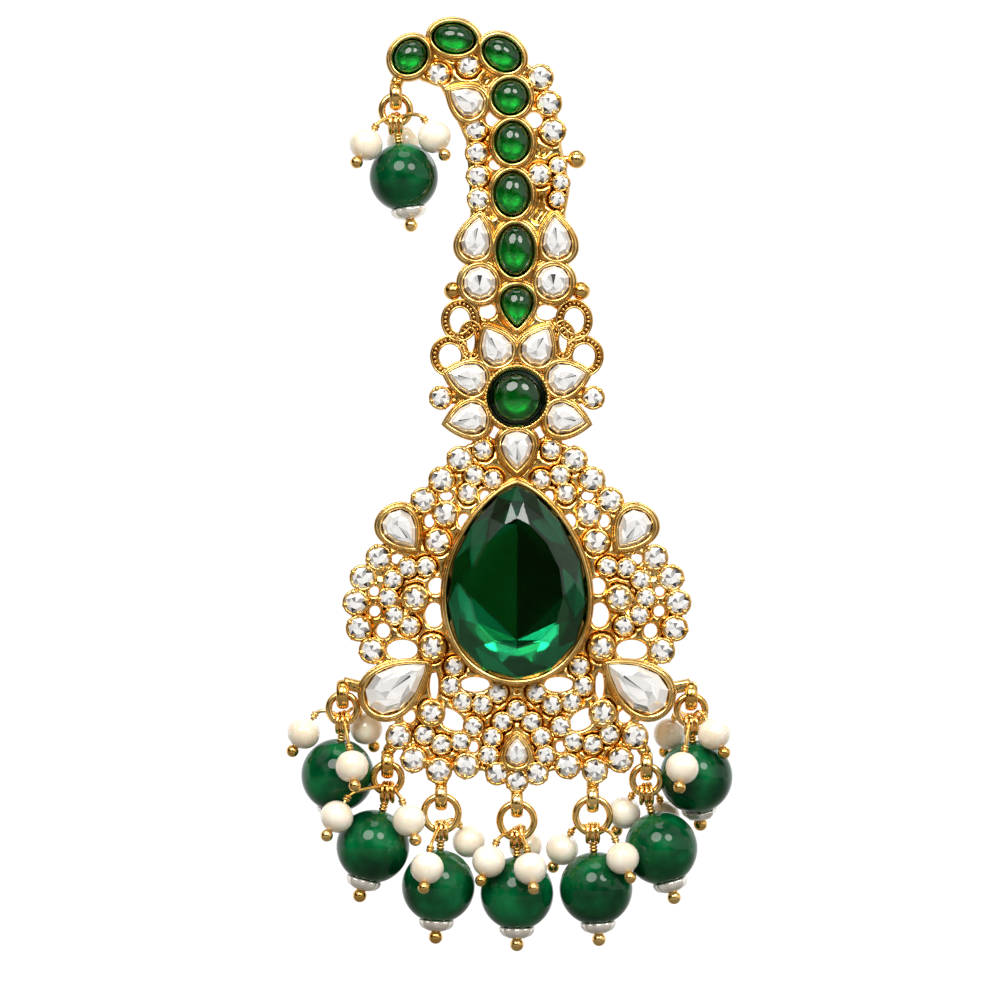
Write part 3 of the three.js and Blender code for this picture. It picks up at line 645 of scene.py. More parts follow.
def web_outlines():
    """The web's closed outlines, and those of its gaps."""
    half = [on_fan(*share) for share in FAN_WEB_HALF]
    fan = half + [mirrored(p) for p in reversed(half[1:-1])]
    neck = [on_neck(*share) for share in NECK_LEFT] + [on_flower(*share) for share in NECK_FOOT]
    neck += [on_neck(*share) for share in NECK_RIGHT]
    bar = [on_fan(x * BAR_END, z * BAR_HALF) for x, z in ((-1, -1), (-1, 1), (1, 1), (1, -1))]
    disc = ring_points(Vector((0, 0)), PETAL_RING * FLOWER_DISC, 40)
    gaps = []
    for share, width, height, turn in FAN_GAPS:
        at = on_fan(*share)
        hole = oval(width * FAN_HALF_WIDTH, height * FAN_HALF_WIDTH, turn)
        gaps.append(placed(outline(hole, 28), at))
        hole["heading"] = 90 - turn
        gaps.append(placed(outline(hole, 28), mirrored(at)))
    for share, width, height, turn in NECK_GAPS:
        hole = oval(width * HOOK_REACH, height * HOOK_REACH, turn)
        gaps.append(placed(outline(hole, 28), on_neck(*share)))
    return [fan, neck, bar, disc], gaps


def scroll_outlines():
    """Each scroll's band as its inner and outer outline."""
    bands = []
    for share, width, height in SCROLLS:
        hole = oval(width * PETAL_RING, height * PETAL_RING)
        for at in (on_flower(*share), mirrored(on_flower(*share))):
            inner, outer = outline(hole, 40), outline(hole, 40, SCROLL_BAND)
            bands.append((placed(inner, at), placed(outer, at)))
    return bands


def eye_arms():
    """The flat arms that hold the eyes, as outlines."""
    arms = []
    for drop in drop_frames():
        eye, anchor = drop["eye"], drop["anchor"]
        crest = Vector((eye.x, eye.z + drop["eye_radius"] + EYE_BAND / 2))
        along = (crest - anchor).normalized()
        side = Vector((-along.y, along.x)) * (EYE_WIDTH / 2)
        arms.append([anchor - side, crest - side, crest + side, anchor + side])
    return arms


def web_fields(xs, zs):
    """How far each grid point is inside the web, outside every setting and inside a scroll."""
    x, z = np.meshgrid(xs, zs)
    field, settings, band = (np.full(x.shape, FAR_OUT) for _ in range(3))

    def merge(grid, points, cut=False, inner=None):
        near = window(points, xs, zs)
        inside = edge_distance(points, x[near], z[near])
        if inner:
            inside = np.minimum(inside, -edge_distance(inner, x[near], z[near]))
        grid[near] = np.minimum(grid[near], -inside) if cut else np.maximum(grid[near], inside)

    bodies, gaps = web_outlines()
    for points in bodies:
        merge(field, points)
    for points in gaps:
        merge(field, points, cut=True)
    for stone in bezel_stones():
        merge(settings, placed(outline(stone, 32, SEAT_GAP + BEZEL_WALL), stone["at"]))
    for at, size, wall, _ in rhinestones():
        merge(settings, ring_points(at, size / 2 + wall, 16))
    for inner, outer in scroll_outlines():
        merge(field, outer, inner=inner)
        merge(band, outer, inner=inner)
    for points in eye_arms():
        merge(field, points)
    field = np.maximum(field, settings)
    pierced = np.minimum(-settings - PIERCED_FROM, field - PIERCED_FROM)
    return np.minimum(field, -pierced), -settings, band


def rounded(inside, radius):
    """The height of a round wire along an edge, from 0 to 1, by the distance in from the edge."""
    rise = np.sqrt(np.clip(1 - ((inside - radius) / radius) ** 2, 0, 1))
    past = np.clip((inside - radius) / (1.3 * radius), 0, 1)
    return np.where(inside < radius, rise, 0.5 + 0.5 * np.cos(math.pi * past))


def reached(kept, start):
    """The kept cells of a grid that join up with a first one."""
    found = np.zeros_like(kept)
    edge = [start]
    while edge:
        j, i = edge.pop()
        if kept[j, i] and not found[j, i]:
            found[j, i] = True
            edge += [(j + 1, i), (j - 1, i), (j, i + 1), (j, i - 1)]
    return found


def without_specks(kept, least):
    """Fills the gaps of a grid that have fewer than some cells."""
    empty = ~np.pad(kept, 1, constant_values=True)
    for j, i in np.argwhere(empty):
        if empty[j, i]:
            gap = reached(empty, (j, i))
            empty &= ~gap
            if gap.sum() < least:
                kept |= gap[1:-1, 1:-1]
    return kept


def web_mesh():
    """The cast web as one closed mesh: a rounded rim along each edge and a flat back."""
    xs = np.arange(-HOOK_REACH * 2.2, HOOK_REACH * 2.2, WEB_PITCH)
    zs = np.arange(-FAN_HEIGHT - 6, NECK_HEIGHT + 5, WEB_PITCH)
    field, clear, band = web_fields(xs, zs)
    within = field > 0
    kept = within[:-1, :-1] | within[1:, :-1] | within[:-1, 1:] | within[1:, 1:]
    kept = without_specks(kept, LEAST_GAP)
    edged = np.pad(kept, 1)
    corners = edged[:-1, :-1], edged[1:, :-1], edged[:-1, 1:], edged[1:, 1:]
    used = np.logical_or.reduce(corners)
    inner = np.logical_and.reduce(corners)

    # The grid points just outside the edge move onto it.
    steep_z, steep_x = np.gradient(field, WEB_PITCH)
    size = np.maximum(np.sqrt(steep_x ** 2 + steep_z ** 2), LEAST_SLOPE)
    x, z = np.meshgrid(xs, zs)
    reach = np.minimum(-field / size, WEB_PITCH * 1.2)
    shift = np.where(used & ~within & ~inner, reach, 0)
    x = x + shift * steep_x / size
    z = z + shift * steep_z / size
    rim = rounded(np.clip(field, 0, None), RIM_RADIUS)
    wire = rounded(np.clip(clear, 0, None), WIRE_RADIUS) * (clear > 0)
    crest = np.maximum(rim, wire * WIRE_SHARE)
    groove = np.clip(band / GROOVE_RUN, 0, 1) * (clear > 0)
    depth = WEB_FLOOR + crest * RIM_RADIUS + RIM_LIFT * rim - SCROLL_GROOVE * groove
    # Painted shade: the web's low floor between the rims and the cup wires, and the scroll grooves,
    # are marked so that the gold turns brown there.
    hollow_shade = np.clip(WIRE_SHARE - crest, 0, 1) * (field > RIM_RADIUS) * (clear > 0)
    recess_shade = np.maximum(hollow_shade, groove)

    count = int(used.sum())
    index = np.full(field.shape, -1)
    index[used] = np.arange(count)
    front = np.stack([x[used], -STANDOFF - depth[used], z[used] + RISE], 1)
    back = np.stack([x[used], np.full(count, -STANDOFF), z[used] + RISE], 1)
    points = np.concatenate([front, back]) * MM
    j, i = np.nonzero(kept)
    a, b, c, d = index[j, i], index[j, i + 1], index[j + 1, i + 1], index[j + 1, i]
    faces = [np.stack([a, b, c, d], 1), np.stack([d, c, b, a], 1) + count]
    for start, end, dj, di in ((a, b, -1, 0), (b, c, 0, 1), (c, d, 1, 0), (d, a, 0, -1)):
        open_side = ~edged[j + 1 + dj, i + 1 + di]
        first, second = start[open_side], end[open_side]
        faces.append(np.stack([second, first, first + count, second + count], 1))
    web = add_mesh("cast_web", points.tolist(), np.concatenate(faces).tolist(), "cast")
    web.data.validate()
    web.data.set_sharp_from_angle(angle=math.radians(55))
    painted_light = web.data.attributes.new("recess_shade", "FLOAT", "POINT")
    painted_light.data.foreach_set("value", np.concatenate([recess_shade[used], np.zeros(count)]))
    return web


# Materials


def linear(hex_color):
    """An sRGB colour as the linear one that a shader takes."""
    channels = [int(hex_color[i:i + 2], 16) / 255 for i in (1, 3, 5)]
    bent = [c / 12.92 if c <= 0.04045 else ((c + 0.055) / 1.055) ** 2.4 for c in channels]
    return (*bent, 1.0)


def feed(tree, made, inputs):
    """Gives each input of a node its value, or links it from the socket given."""
    for key, value in inputs.items():
        if isinstance(value, bpy.types.NodeSocket):
            tree.links.new(value, made.inputs[key])
        else:
            made.inputs[key].default_value = value


def node(tree, kind, inputs=None, **settings):
    """Adds a node with its settings and its inputs, by name or number."""
    made = tree.nodes.new(kind)
    for name, value in settings.items():
        setattr(made, name, value)
    feed(tree, made, inputs or {})
    return made


def material(name, shader):
    """A material with one Principled BSDF, whose inputs shader makes from the tree."""
    made = bpy.data.materials.new(name)
    made.use_nodes = True
    tree = made.node_tree
    feed(tree, tree.nodes["Principled BSDF"], shader(tree))
    return made


def ramp(tree, factor, *stops):
    """A colour ramp from places and hex colours."""
    made = node(tree, "ShaderNodeValToRGB", {"Fac": factor})
    steps = made.color_ramp.elements
    while len(steps) < len(stops):
        steps.new(0.5)
    for step, (place, color) in zip(steps, stops):
        step.position = place
        step.color = linear(color)
    return made.outputs["Color"]


def noise(tree, grain_mm, detail=3.0):
    """Noise whose grain is some millimetres wide on the piece."""
    place = node(tree, "ShaderNodeTexCoord").outputs["Object"]
    inputs = {"Vector": place, "Scale": 1 / (grain_mm * MM), "Detail": detail}
    return node(tree, "ShaderNodeTexNoise", inputs).outputs["Fac"]


def mapped(tree, value, low, high, to_low=0.0, to_high=1.0):
    """A value brought from one range to another."""
    return node(tree, "ShaderNodeMapRange", {
        "Value": value, "From Min": low, "From Max": high, "To Min": to_low, "To Max": to_high,
    }).outputs["Result"]


def stored(tree, name):
    """A value that the mesh keeps under a name."""
    return node(tree, "ShaderNodeAttribute", attribute_name=name).outputs["Fac"]


def painted_light_ramp(tree, grain_mm, *stops):
    """A ramp read by each facet's painted light, with a little noise: painted reflections and shade
    for what its foil throws back.
    """
    flecks = {0: noise(tree, grain_mm, 1), 1: 0.12, 2: stored(tree, "painted_light")}
    flecked = node(tree, "ShaderNodeMath", flecks, operation="MULTIPLY_ADD", use_clamp=True)
    return ramp(tree, flecked.outputs[0], *stops)


def relief(tree, height, strength, depth_mm):
    """Bump from a height, some millimetres deep."""
    inputs = {"Height": height, "Strength": strength, "Distance": depth_mm * MM}
    return node(tree, "ShaderNodeBump", inputs).outputs["Normal"]


def gold(name, grain_mm, roughness, relief_mm):
    """Gold plate: warm yellow, paler where worn, and brown in its recesses as painted shade."""
    s = bpy.context.scene.ornament_finishes

    def shader(tree):
        patches = ramp(tree, noise(tree, grain_mm * 6), (0.3, s.gold), (0.7, s.gold_light))
        # Painted shade: the gold goes brown where the web is marked as recessed.
        mixed = {0: stored(tree, "recess_shade"), 6: patches, 7: linear(s.gold_recess_shade)}
        fine = noise(tree, grain_mm, 4)
        return {
            "Metallic": 1.0,
            "Roughness": mapped(tree, fine, 0.0, 1.0, roughness * 0.7, roughness * 1.5),
            "Base Color": node(tree, "ShaderNodeMix", mixed, data_type="RGBA").outputs[2],
            "Normal": relief(tree, fine, 0.5, relief_mm),
        }

    return material(name, shader)


def emerald_glass(name, tint, wavy=False):
    """Emerald-coloured glass, moulded and fire-polished: clear, glossy and tinted through."""

    def shader(tree):
        inputs = {
            "Transmission Weight": 1.0, "IOR": 1.52, "Roughness": 0.01,
            "Specular IOR Level": 0.35, "Base Color": linear(tint),
        }
        if wavy:
            inputs["Normal"] = relief(tree, noise(tree, 6, 1), 0.02, 0.02)
        return inputs

    return material(name, shader)


def materials():
    """Every finish of the ornament and its stage, by its plain name."""
    s = bpy.context.scene.ornament_finishes
    return {
        # Gold plate on lost-wax cast brass: soft-edged, faintly grained.
        "cast": gold("Gold plate on cast brass", 0.7, 0.16, 0.04),
        # Gold plate on drawn brass wire: smooth, bright and even.
        "wire": gold("Gold plate on drawn wire", 1.2, 0.13, 0.01),
        # Pale silver-toned bead caps, stamped and lightly polished.
        "cap": material("Stamped silver plate", lambda tree: {
            "Metallic": 0.6, "Roughness": 0.2,
            "Base Color": ramp(tree, noise(tree, 1.5), (0.3, "#E6DECF"), (0.7, "#FDFAF3")),
            "Normal": relief(tree, noise(tree, 0.35), 0.4, 0.03),
        }),
        # Foil-backed cut glass: flat bright facets with painted reflections that flash white or
        # grey.
        "crystal": material("Foil-backed crystal glass", lambda tree: {
            "Metallic": 0.3, "Roughness": 0.06, "Coat Weight": 1.0, "Coat Roughness": 0.02,
            "IOR": 1.55, "Base Color": painted_light_ramp(
                tree, 0.8, (0.15, "#34343A"), (0.4, "#9A9A9C"), (0.65, "#F0EFEE"),
                (0.85, s.crystal)),
        }),
        # Green foil under glass: bright metallic leaf seen through the stone, with painted shade at
        # its rim.
        "foil": material("Green foil", lambda tree: {
            "Metallic": 0.9, "Roughness": 0.38,
            "Base Color": painted_light_ramp(tree, 4, (0.1, "#02180A"), (0.6, "#0C7A3E"), (1.0, s.foil)),
        }),
        # The foil under the centre stone is darker, and the painted reflections and shade of its
        # facets bring its table to near black-green.
        "centre_foil": material("Dark green foil", lambda tree: {
            "Metallic": 0.75, "Roughness": 0.16, "Base Color": painted_light_ramp(
                tree, 5, (0.05, "#02330F"), (0.35, "#0A6E2E"), (0.55, "#0B8068"),
                (0.95, s.centre_foil)),
        }),
        "glass": emerald_glass("Emerald glass", s.glass, wavy=True),
        "cut_glass": emerald_glass("Cut emerald glass", s.cut_glass),
        # Dyed quartz beads: deep green with cloudy paler flecks under a polished skin.
        "bead": material("Dyed green quartz", lambda tree: {
            "Roughness": 0.07, "IOR": 1.5, "Specular IOR Level": 0.28, "Base Color": ramp(
                tree, noise(tree, 4.2, 2.5), (0.34, s.bead_dark), (0.5, s.bead),
                (0.7, s.bead_light)),
        }),
        # Imitation pearls: cream lacquer with a soft sheen over glass.
        "pearl": material("Lacquered pearl", lambda tree: {
            "Roughness": 0.25, "IOR": 1.55, "Coat Weight": 1.0, "Coat Roughness": 0.03,
            "Subsurface Weight": 0.3, "Subsurface Scale": 0.0012,
            "Base Color": ramp(tree, noise(tree, 3, 2), (0.3, "#E9DBC0"), (0.65, s.pearl)),
            "Normal": relief(tree, noise(tree, 0.6), 0.2, 0.01),
        }),
        # Studio paper: grey towards the front, and lit from within behind the ornament.
        "paper": material("White paper sweep", paper_shader),
    }


def coordinate(tree, source, axis):
    """One coordinate of a texture place."""
    place = node(tree, "ShaderNodeTexCoord").outputs[source]
    return node(tree, "ShaderNodeSeparateXYZ", {"Vector": place}).outputs[axis]


def paper_shader(tree):
    back = coordinate(tree, "Object", "Y")
    tones = (0.0, "#C4C1BC"), (0.85, "#7A7772"), (1.0, "#3F3E3D")
    return {
        "Roughness": 0.9, "Emission Color": (1, 1, 1, 1),
        "Base Color": ramp(tree, mapped(tree, back, PAPER_FRONT, 0.2), *tones),
        "Emission Strength": mapped(tree, back, 0.0, 0.17, 0.0, 0.98),
    }


FINISHES = {}


def finish(look):
    """A finish by its plain name. All are made together at the first call."""
    if not FINISHES:
        FINISHES.update(materials())
    return FINISHES[look]


# Shapes of single pieces. A share is of a stone's outline, a depth is in millimetres.

CUT_SIDES = 10
# Painted reflections and shade: how bright each facet of a cut stone or a chaton flashes, by its
# number.
CUT_RIM_PAINTED_LIGHT = (1.0, 0.7, 0.95, 0.55, 1.0, 0.85, 0.45)
CUT_STAR_PAINTED_LIGHT = (0.5, 1.0, 0.8, 1.0, 0.45, 0.7, 1.0, 0.75, 1.0, 0.12)
CHATON_SIDES = 8
CHATON_RINGS = ((0.5, -0.1, 0), (0.5, 0.02, 0), (0.29, 0.2, 0.5))
CHATON_TOP = 0.235
CHATON_PAINTED_LIGHT = (1.0, 0.4, 1.0, 0.1, 0.95, 1.0, 0.3, 1.0, 0.7, 1.0, 0.85)
CENTRE_SIDES = 14
CABOCHON_SIDES = 40
DOME_STEPS = 12
CUP_SIDES = 20
CLAW = 0.25
STONE_FOOT = SEAT_FLOOR + SEAT_GAP


def at_stone(stone, flat, depth):
    """Points of a stone's drawing at a depth, in metres."""
    return [at_depth(p.x, depth, p.y) for p in placed(flat, stone["at"])]


def ring_of(stone, count, share, depth, turn=0):
    """Points round a stone at a share of its outline and a depth. turn moves them half a step."""
    return at_stone(stone, [q * share for q in outline(stone, count * 2)[turn::2]], depth)


def ridge_points(stone, depth, share):
    """Two points along a stone's length about its middle, at a depth."""
    turn = math.radians(stone["heading"])
    way = Vector((math.cos(turn), math.sin(turn))) * stone["length"] * share
    return at_stone(stone, [way, -way], depth)


def ridge_faces(points, first, count):
    """Facets from a ring of points to the nearer of the last two points."""
    tips = len(points) - 2, len(points) - 1
    nearer = []
    for p in points[first:first + count]:
        nearer.append(0 if (p - points[-2]).length < (p - points[-1]).length else 1)
    faces = []
    for i in range(count):
        a, b = first + i, first + (i + 1) % count
        here, there = nearer[i], nearer[(i + 1) % count]
        faces.append((a, b, tips[here]))
        if here != there:
            faces.append((b, tips[there], tips[here]))
    return faces


def star_faces(points, count):
    """Facets from the last ring of points to the last point."""
    tip = len(points) - 1
    return [(tip - count + i, tip - count + (i + 1) % count, tip) for i in range(count)]


def paint_facet_light(piece, painted_light):
    """Turns a stone's facets outwards and gives each facet its painted light, a value of painted
    reflection and shade, by its number.
    """
    outward(piece)
    shades = piece.data.attributes.new("painted_light", "FLOAT", "FACE")
    for k, shade in enumerate(shades.data):
        shade.value = painted_light(k)
    return piece


def bezel_mesh(stone):
    """A bezel swept round its stone: a stepped foot, a rolled wall and a lip over the stone."""
    lip = FACE + stone["rise"]
    profile = (
        (0.95, 0.3), (0.98, FACE - 0.25), (0.9, FACE - 0.05), (0.76, FACE + 0.02),
        (0.66, FACE - 0.12), (0.64, lip - 0.3), (0.58, lip - 0.08), (0.44, lip),
        (0.28, lip - 0.02), (0.14, lip - 0.12), (0.05, lip - 0.27), (0.16, lip - 0.5),
        (0.2, SEAT_FLOOR), (0.5, 0.3),
    )
    count = 72 if stone["kind"] == "centre" else 44
    rings = [at_stone(stone, outline(stone, count, grow), depth) for grow, depth in profile]
    return outward(loft(stone["name"] + "_bezel", rings, "cast", "loop"))


def cut_stone(stone):
    """A foil-backed cut stone: wide crown facets and, in its table, the star of painted reflections
    that its foil shows.
    """
    girdle = FACE + stone["rise"] - GIRDLE_DROP
    top = girdle + CUT_CROWN
    steps = ((0.96, STONE_FOOT), (1, girdle), (0.72, top - 0.2), (0.5, top - 0.05, 1))
    rings = [ring_of(stone, CUT_SIDES, *step) for step in steps]
    points, faces = stacked(rings, "back")
    points += ridge_points(stone, top, -0.12)[:1]
    star = len(faces)
    faces += star_faces(points, CUT_SIDES)
    piece = add_mesh(stone["name"] + "_cut", points, faces, "crystal", smooth=False)

    def painted_light(k):
        """Painted reflections: bright all round, with a grey wedge in the star towards the stone's
        tip.
        """
        if k < star:
            return CUT_RIM_PAINTED_LIGHT[k % len(CUT_RIM_PAINTED_LIGHT)]
        return CUT_STAR_PAINTED_LIGHT[k - star]

    return paint_facet_light(piece, painted_light)


def cabochon(stone):
    """A polished dome of green glass over a dished foil."""
    girdle = FACE + stone["rise"] - GIRDLE_DROP
    inset = 0.84 if stone["name"] == "flower_cabochon" else 0.97
    steps = [(1.0, STONE_FOOT), (1.0, girdle - 0.1)]
    for i in range(DOME_STEPS + 1):
        t = math.radians(88 * i / DOME_STEPS)
        steps.append((inset * math.cos(t), girdle + (CABOCHON_DOME - 0.02) * math.sin(t)))
    rings = [ring_of(stone, CABOCHON_SIDES, *step) for step in steps]
    dome = loft(stone["name"] + "_dome", rings, "glass")
    dome.data.set_sharp_from_angle(angle=math.radians(60))
    dish = (
        (0.97, STONE_FOOT + 0.1), (0.97, girdle), (inset - 0.1, girdle - 0.1),
        (0.72, girdle - 0.35), (0.35, girdle - 0.55),
    )
    rings = [ring_of(stone, CABOCHON_SIDES, *step) for step in dish]
    # Painted shade: the foil's outer wall and rim are dark, the next ring partly bright and the
    # middle bright.
    tones = {0: 0.0, 1: 0.0, 2: 0.6}
    bed = paint_facet_light(
        loft(stone["name"] + "_foil", rings, "foil"), lambda k: tones.get(k // CABOCHON_SIDES, 1.0))
    return joined(stone["name"] + "_stone", [dome, bed])


def centre_stone(stone):
    """The large pear: a cut glass crown with a table, over a keeled and scalloped foil."""
    girdle = FACE + stone["rise"] - GIRDLE_DROP
    top = girdle + CENTRE_CROWN
    steps = (
        (0.98, STONE_FOOT), (1, girdle - 0.25), (1, girdle),
        (0.84, girdle + 0.55 * CENTRE_CROWN, 1), (0.66, top),
    )
    rings = [ring_of(stone, CENTRE_SIDES, *step) for step in steps]
    crown = loft(stone["name"] + "_crown", rings, "cut_glass", smooth=False)
    triangulated(crown, only_quads=True)
    steps = (
        (0.95, STONE_FOOT + 0.15), (0.97, girdle - 0.3), (0.84, girdle - 0.1, 1),
        (0.66, girdle - 0.4),
    )
    rings = [ring_of(stone, CENTRE_SIDES, *step) for step in steps]
    points, faces = stacked(rings, "back")
    points += ridge_points(stone, girdle - 0.8, 0.3)
    faces += ridge_faces(points, 3 * CENTRE_SIDES, CENTRE_SIDES)
    bed = add_mesh(stone["name"] + "_foil", points, faces, "centre_foil", smooth=False)
    triangulated(bed)
    middle = at_depth(stone["at"].x, 0, stone["at"].y)

    def painted_light(k):
        """Painted reflections and shade on the foil: dark under the table, more so right of the
        keel, and teal round it, paler towards the bottom and alternating from facet to facet.
        """
        center = bed.data.polygons[k].center
        aside = (center.x - middle.x) / (stone["width"] / 2 * MM)
        up = (center.z - middle.z) / (stone["length"] / 2 * MM)
        if math.hypot(aside, up) < 0.55:
            return 0.3 if aside < 0 else 0.0
        return min(max(0.5 + 0.25 * (-1) ** k - 0.25 * up, 0), 1)

    return joined(stone["name"] + "_cut", [crown, paint_facet_light(bed, painted_light)])


def chaton():
    """A brilliant of one millimetre facing -Y: a crown of triangles, and a star inside."""
    rings = []
    for share, depth, turn in CHATON_RINGS:
        rings.append(circle(FRONT * depth * MM, share, FRONT, RIGHT, CHATON_SIDES, turn))
    points, faces = stacked(rings, "back")
    points.append(FRONT * CHATON_TOP * MM)
    faces += star_faces(points, CHATON_SIDES)
    piece = add_mesh("chaton", points, faces, "crystal", smooth=False)
    triangulated(piece)
    # Painted reflections: the chaton's facets flash bright and dark by their number.
    return paint_facet_light(piece, lambda k: CHATON_PAINTED_LIGHT[k % len(CHATON_PAINTED_LIGHT)])


def cup(wall, claws=4):
    """A cup of one millimetre inside, facing -Y, with claws bent over its stone."""
    profile = (
        (0.46, -0.3), (0.5 + wall, -0.3), (0.5 + wall * 1.05, -0.02), (0.5 + wall * 0.5, 0.05),
        (0.5, 0.03), (0.49, -0.05),
    )
    rings = []
    for radius, depth in profile:
        rings.append(circle(FRONT * depth * MM, radius, FRONT, RIGHT, CUP_SIDES))
    parts = [outward(loft("cup_band", rings, "cast", "loop"))]
    for out in around(FRONT, RIGHT, claws, 0.5):
        at = (out * 0.52 + FRONT * 0.05) * MM
        lean = (FRONT * 1.2 - out).normalized()
        parts.append(sphere("claw", at, CLAW, "cast", rows=6, squash=1.2, axis=lean))
    return joined("cup", parts)


def scatter_tree():
    """Geometry Nodes that set a piece at every point, by the point's own size and turn."""
    tree = bpy.data.node_groups.new("Set on points", "GeometryNodeTree")
    for name, kind in (
        ("Geometry", "Geometry"), ("Piece", "Object"), ("Finish", "Material"), ("Size", "Float"),
    ):
        tree.interface.new_socket(name, in_out="INPUT", socket_type="NodeSocket" + kind)
    tree.interface.new_socket("Geometry", in_out="OUTPUT", socket_type="NodeSocketGeometry")
    given = node(tree, "NodeGroupInput").outputs

    def by_point(name):
        return node(
            tree, "GeometryNodeInputNamedAttribute", {"Name": name}, data_type="FLOAT").outputs[0]

    sizes = {0: by_point("size"), 1: given["Size"]}
    scale = node(tree, "ShaderNodeMath", sizes, operation="MULTIPLY")
    set_out = node(tree, "GeometryNodeInstanceOnPoints", {
        "Points": given["Geometry"], "Scale": scale.outputs[0],
        "Instance": node(
            tree, "GeometryNodeObjectInfo", {"Object": given["Piece"]}).outputs["Geometry"],
        "Rotation": node(tree, "ShaderNodeCombineXYZ", {"Y": by_point("turn")}).outputs[0],
    })
    real = node(tree, "GeometryNodeRealizeInstances", {"Geometry": set_out.outputs[0]})
    painted = node(tree, "GeometryNodeSetMaterial", {
        "Geometry": real.outputs[0], "Material": given["Finish"],
    })
    node(tree, "NodeGroupOutput", {0: painted.outputs[0]})
    return tree


def scattered(name, places, master, look, size=1.0):
    """A plain mesh of a piece repeated at (point, size, turn) places. The piece itself goes."""
    tree = bpy.data.node_groups.get("Set on points") or scatter_tree()
    carrier = add_mesh(name, [place[0] for place in places], [])
    for column, key in ((1, "size"), (2, "turn")):
        values = carrier.data.attributes.new(key, "FLOAT", "POINT").data
        values.foreach_set("value", [place[column] for place in places])
    modifier = carrier.modifiers.new("Set on points", "NODES")
    modifier.node_group = tree
    given = {"Piece": master, "Finish": finish(look), "Size": size}
    for item in tree.interface.items_tree:
        if item.in_out == "INPUT" and item.name in given:
            modifier[item.identifier] = given[item.name]
    graph = bpy.context.evaluated_depsgraph_get()
    mesh = bpy.data.meshes.new_from_object(carrier.evaluated_get(graph), depsgraph=graph)
    carrier.modifiers.clear()
    carrier.data = mesh
    mesh.name = name
    bpy.data.objects.remove(master)
    return carrier


def grains(name, places, diameter):
    """Milgrain: one small gold ball at each place."""
    ball = sphere("grain", Vector((0, 0, 0)), diameter, "cast", rows=5)
    return scattered(name, [(place, 1.0, 0.0) for place in places], ball, "cast")


# Groups of pieces


class OrnamentSizes(bpy.types.PropertyGroup):
    """Sizes of the surface work that the solids leave out."""

    milgrain: bpy.props.FloatProperty(
        name="Milgrain", description="Diameter of the grains beaded along the scrolls",
        default=0.42 * MM, min=0.2 * MM, max=1.2 * MM, unit="LENGTH")
    claw_share: bpy.props.FloatProperty(
        name="Cup size", description="Size of each rhinestone's cup against its stone",
        default=1.0, min=0.8, max=1.1, subtype="FACTOR")
    wire_loops: bpy.props.IntProperty(
        name="Loops", description="Wire loops side by side on each jump ring",
        default=3, min=1, max=4)


def color_field(name, description, default):
    return bpy.props.StringProperty(name=name, description=description, default=default)


class OrnamentFinishes(bpy.types.PropertyGroup):
    """Colours of the metal, the stones and the beads, as sRGB hex values."""

    gold_light: color_field("Light gold", "Gold plate where it is polished most", "#FBD88E")
    gold: color_field("Gold", "Gold plate", "#E0A94C")
    # Painted shade: the brown that the gold takes in the web's recesses.
    gold_recess_shade: color_field("Deep gold", "Gold plate in its recesses", "#84511B")
    # The crystal and the two foil colours top ramps that each facet's painted reflections and shade
    # read.
    crystal: color_field("Crystal", "Foil-backed clear stones", "#FFFFFF")
    foil: color_field("Foil", "Green foil under the cabochons", "#1FA35C")
    centre_foil: color_field("Centre foil", "Green foil under the centre stone", "#32C4A4")
    glass: color_field("Glass", "Emerald glass of the cabochons", "#22A052")
    cut_glass: color_field("Cut glass", "Emerald glass of the centre stone", "#57C796")
    bead_dark: color_field("Dark bead", "Darkest clouds in the beads", "#00331B")
    bead: color_field("Bead", "Body colour of the beads", "#004A24")
    bead_light: color_field("Light bead", "Palest flecks in the beads", "#056A3A")
    pearl: color_field("Pearl", "Pearls", "#FCF4E4")


class ORNAMENT_OT_web(bpy.types.Operator):
    """Make the cast web with its scrolls, their milgrain and the ball studs"""

    bl_idname = "ornament.web"
    bl_label = "Cast web"

    def execute(self, context):
        milgrain = context.scene.ornament_sizes.milgrain / MM
        on_plate(web_mesh())
        places, rims = [], []
        for inner, outer in scroll_outlines():
            for path in (inner, outer):
                raised = [at_depth(p.x, SCROLL_RIM_AT, p.y) for p in path]
                rims.append(tube("rim", raised, SCROLL_RIM, "cast", closed=True))
            middle = [(a + b) / 2 for a, b in zip(inner, outer)]
            length = sum((b - a).length for a, b in zip(middle, middle[1:] + middle[:1]))
            for p in evenly(middle, int(length / (milgrain * GRAIN_SPACING))):
                places.append(at_depth(p.x, SCROLL_GRAIN_AT, p.y))
        on_plate(grains("scroll_milgrain", places, milgrain), joined("scroll_rims", rims))
        knobs = []
        for stud in STUDS:
            center, start = (at_depth(p.x, FACE / 2, p.y) for p in (on_neck(*at) for at in stud))
            knobs.append(sphere("knob", center, STUD, rows=14))
            knobs.append(tube("stem", [start, center], STUD_STEM, sides=10))
        on_plate(joined("ball_studs", knobs))
        return {"FINISHED"}


class ORNAMENT_OT_bezels(bpy.types.Operator):
    """Make the bezels of the pears, rounds and cabochons"""

    bl_idname = "ornament.bezels"
    bl_label = "Bezels"

    def execute(self, context):
        stones = bezel_stones()
        on_plate(joined("bezels", [bezel_mesh(stone) for stone in stones]))
        flower = next(stone for stone in stones if stone["name"] == "flower_cabochon")
        path = evenly(outline(flower, 64, FLOWER_GRAIN_OUT), FLOWER_GRAINS)
        places = at_stone(flower, path, FACE + flower["rise"] - 0.02)
        on_plate(grains("flower_milgrain", places, FLOWER_GRAIN))
        return {"FINISHED"}


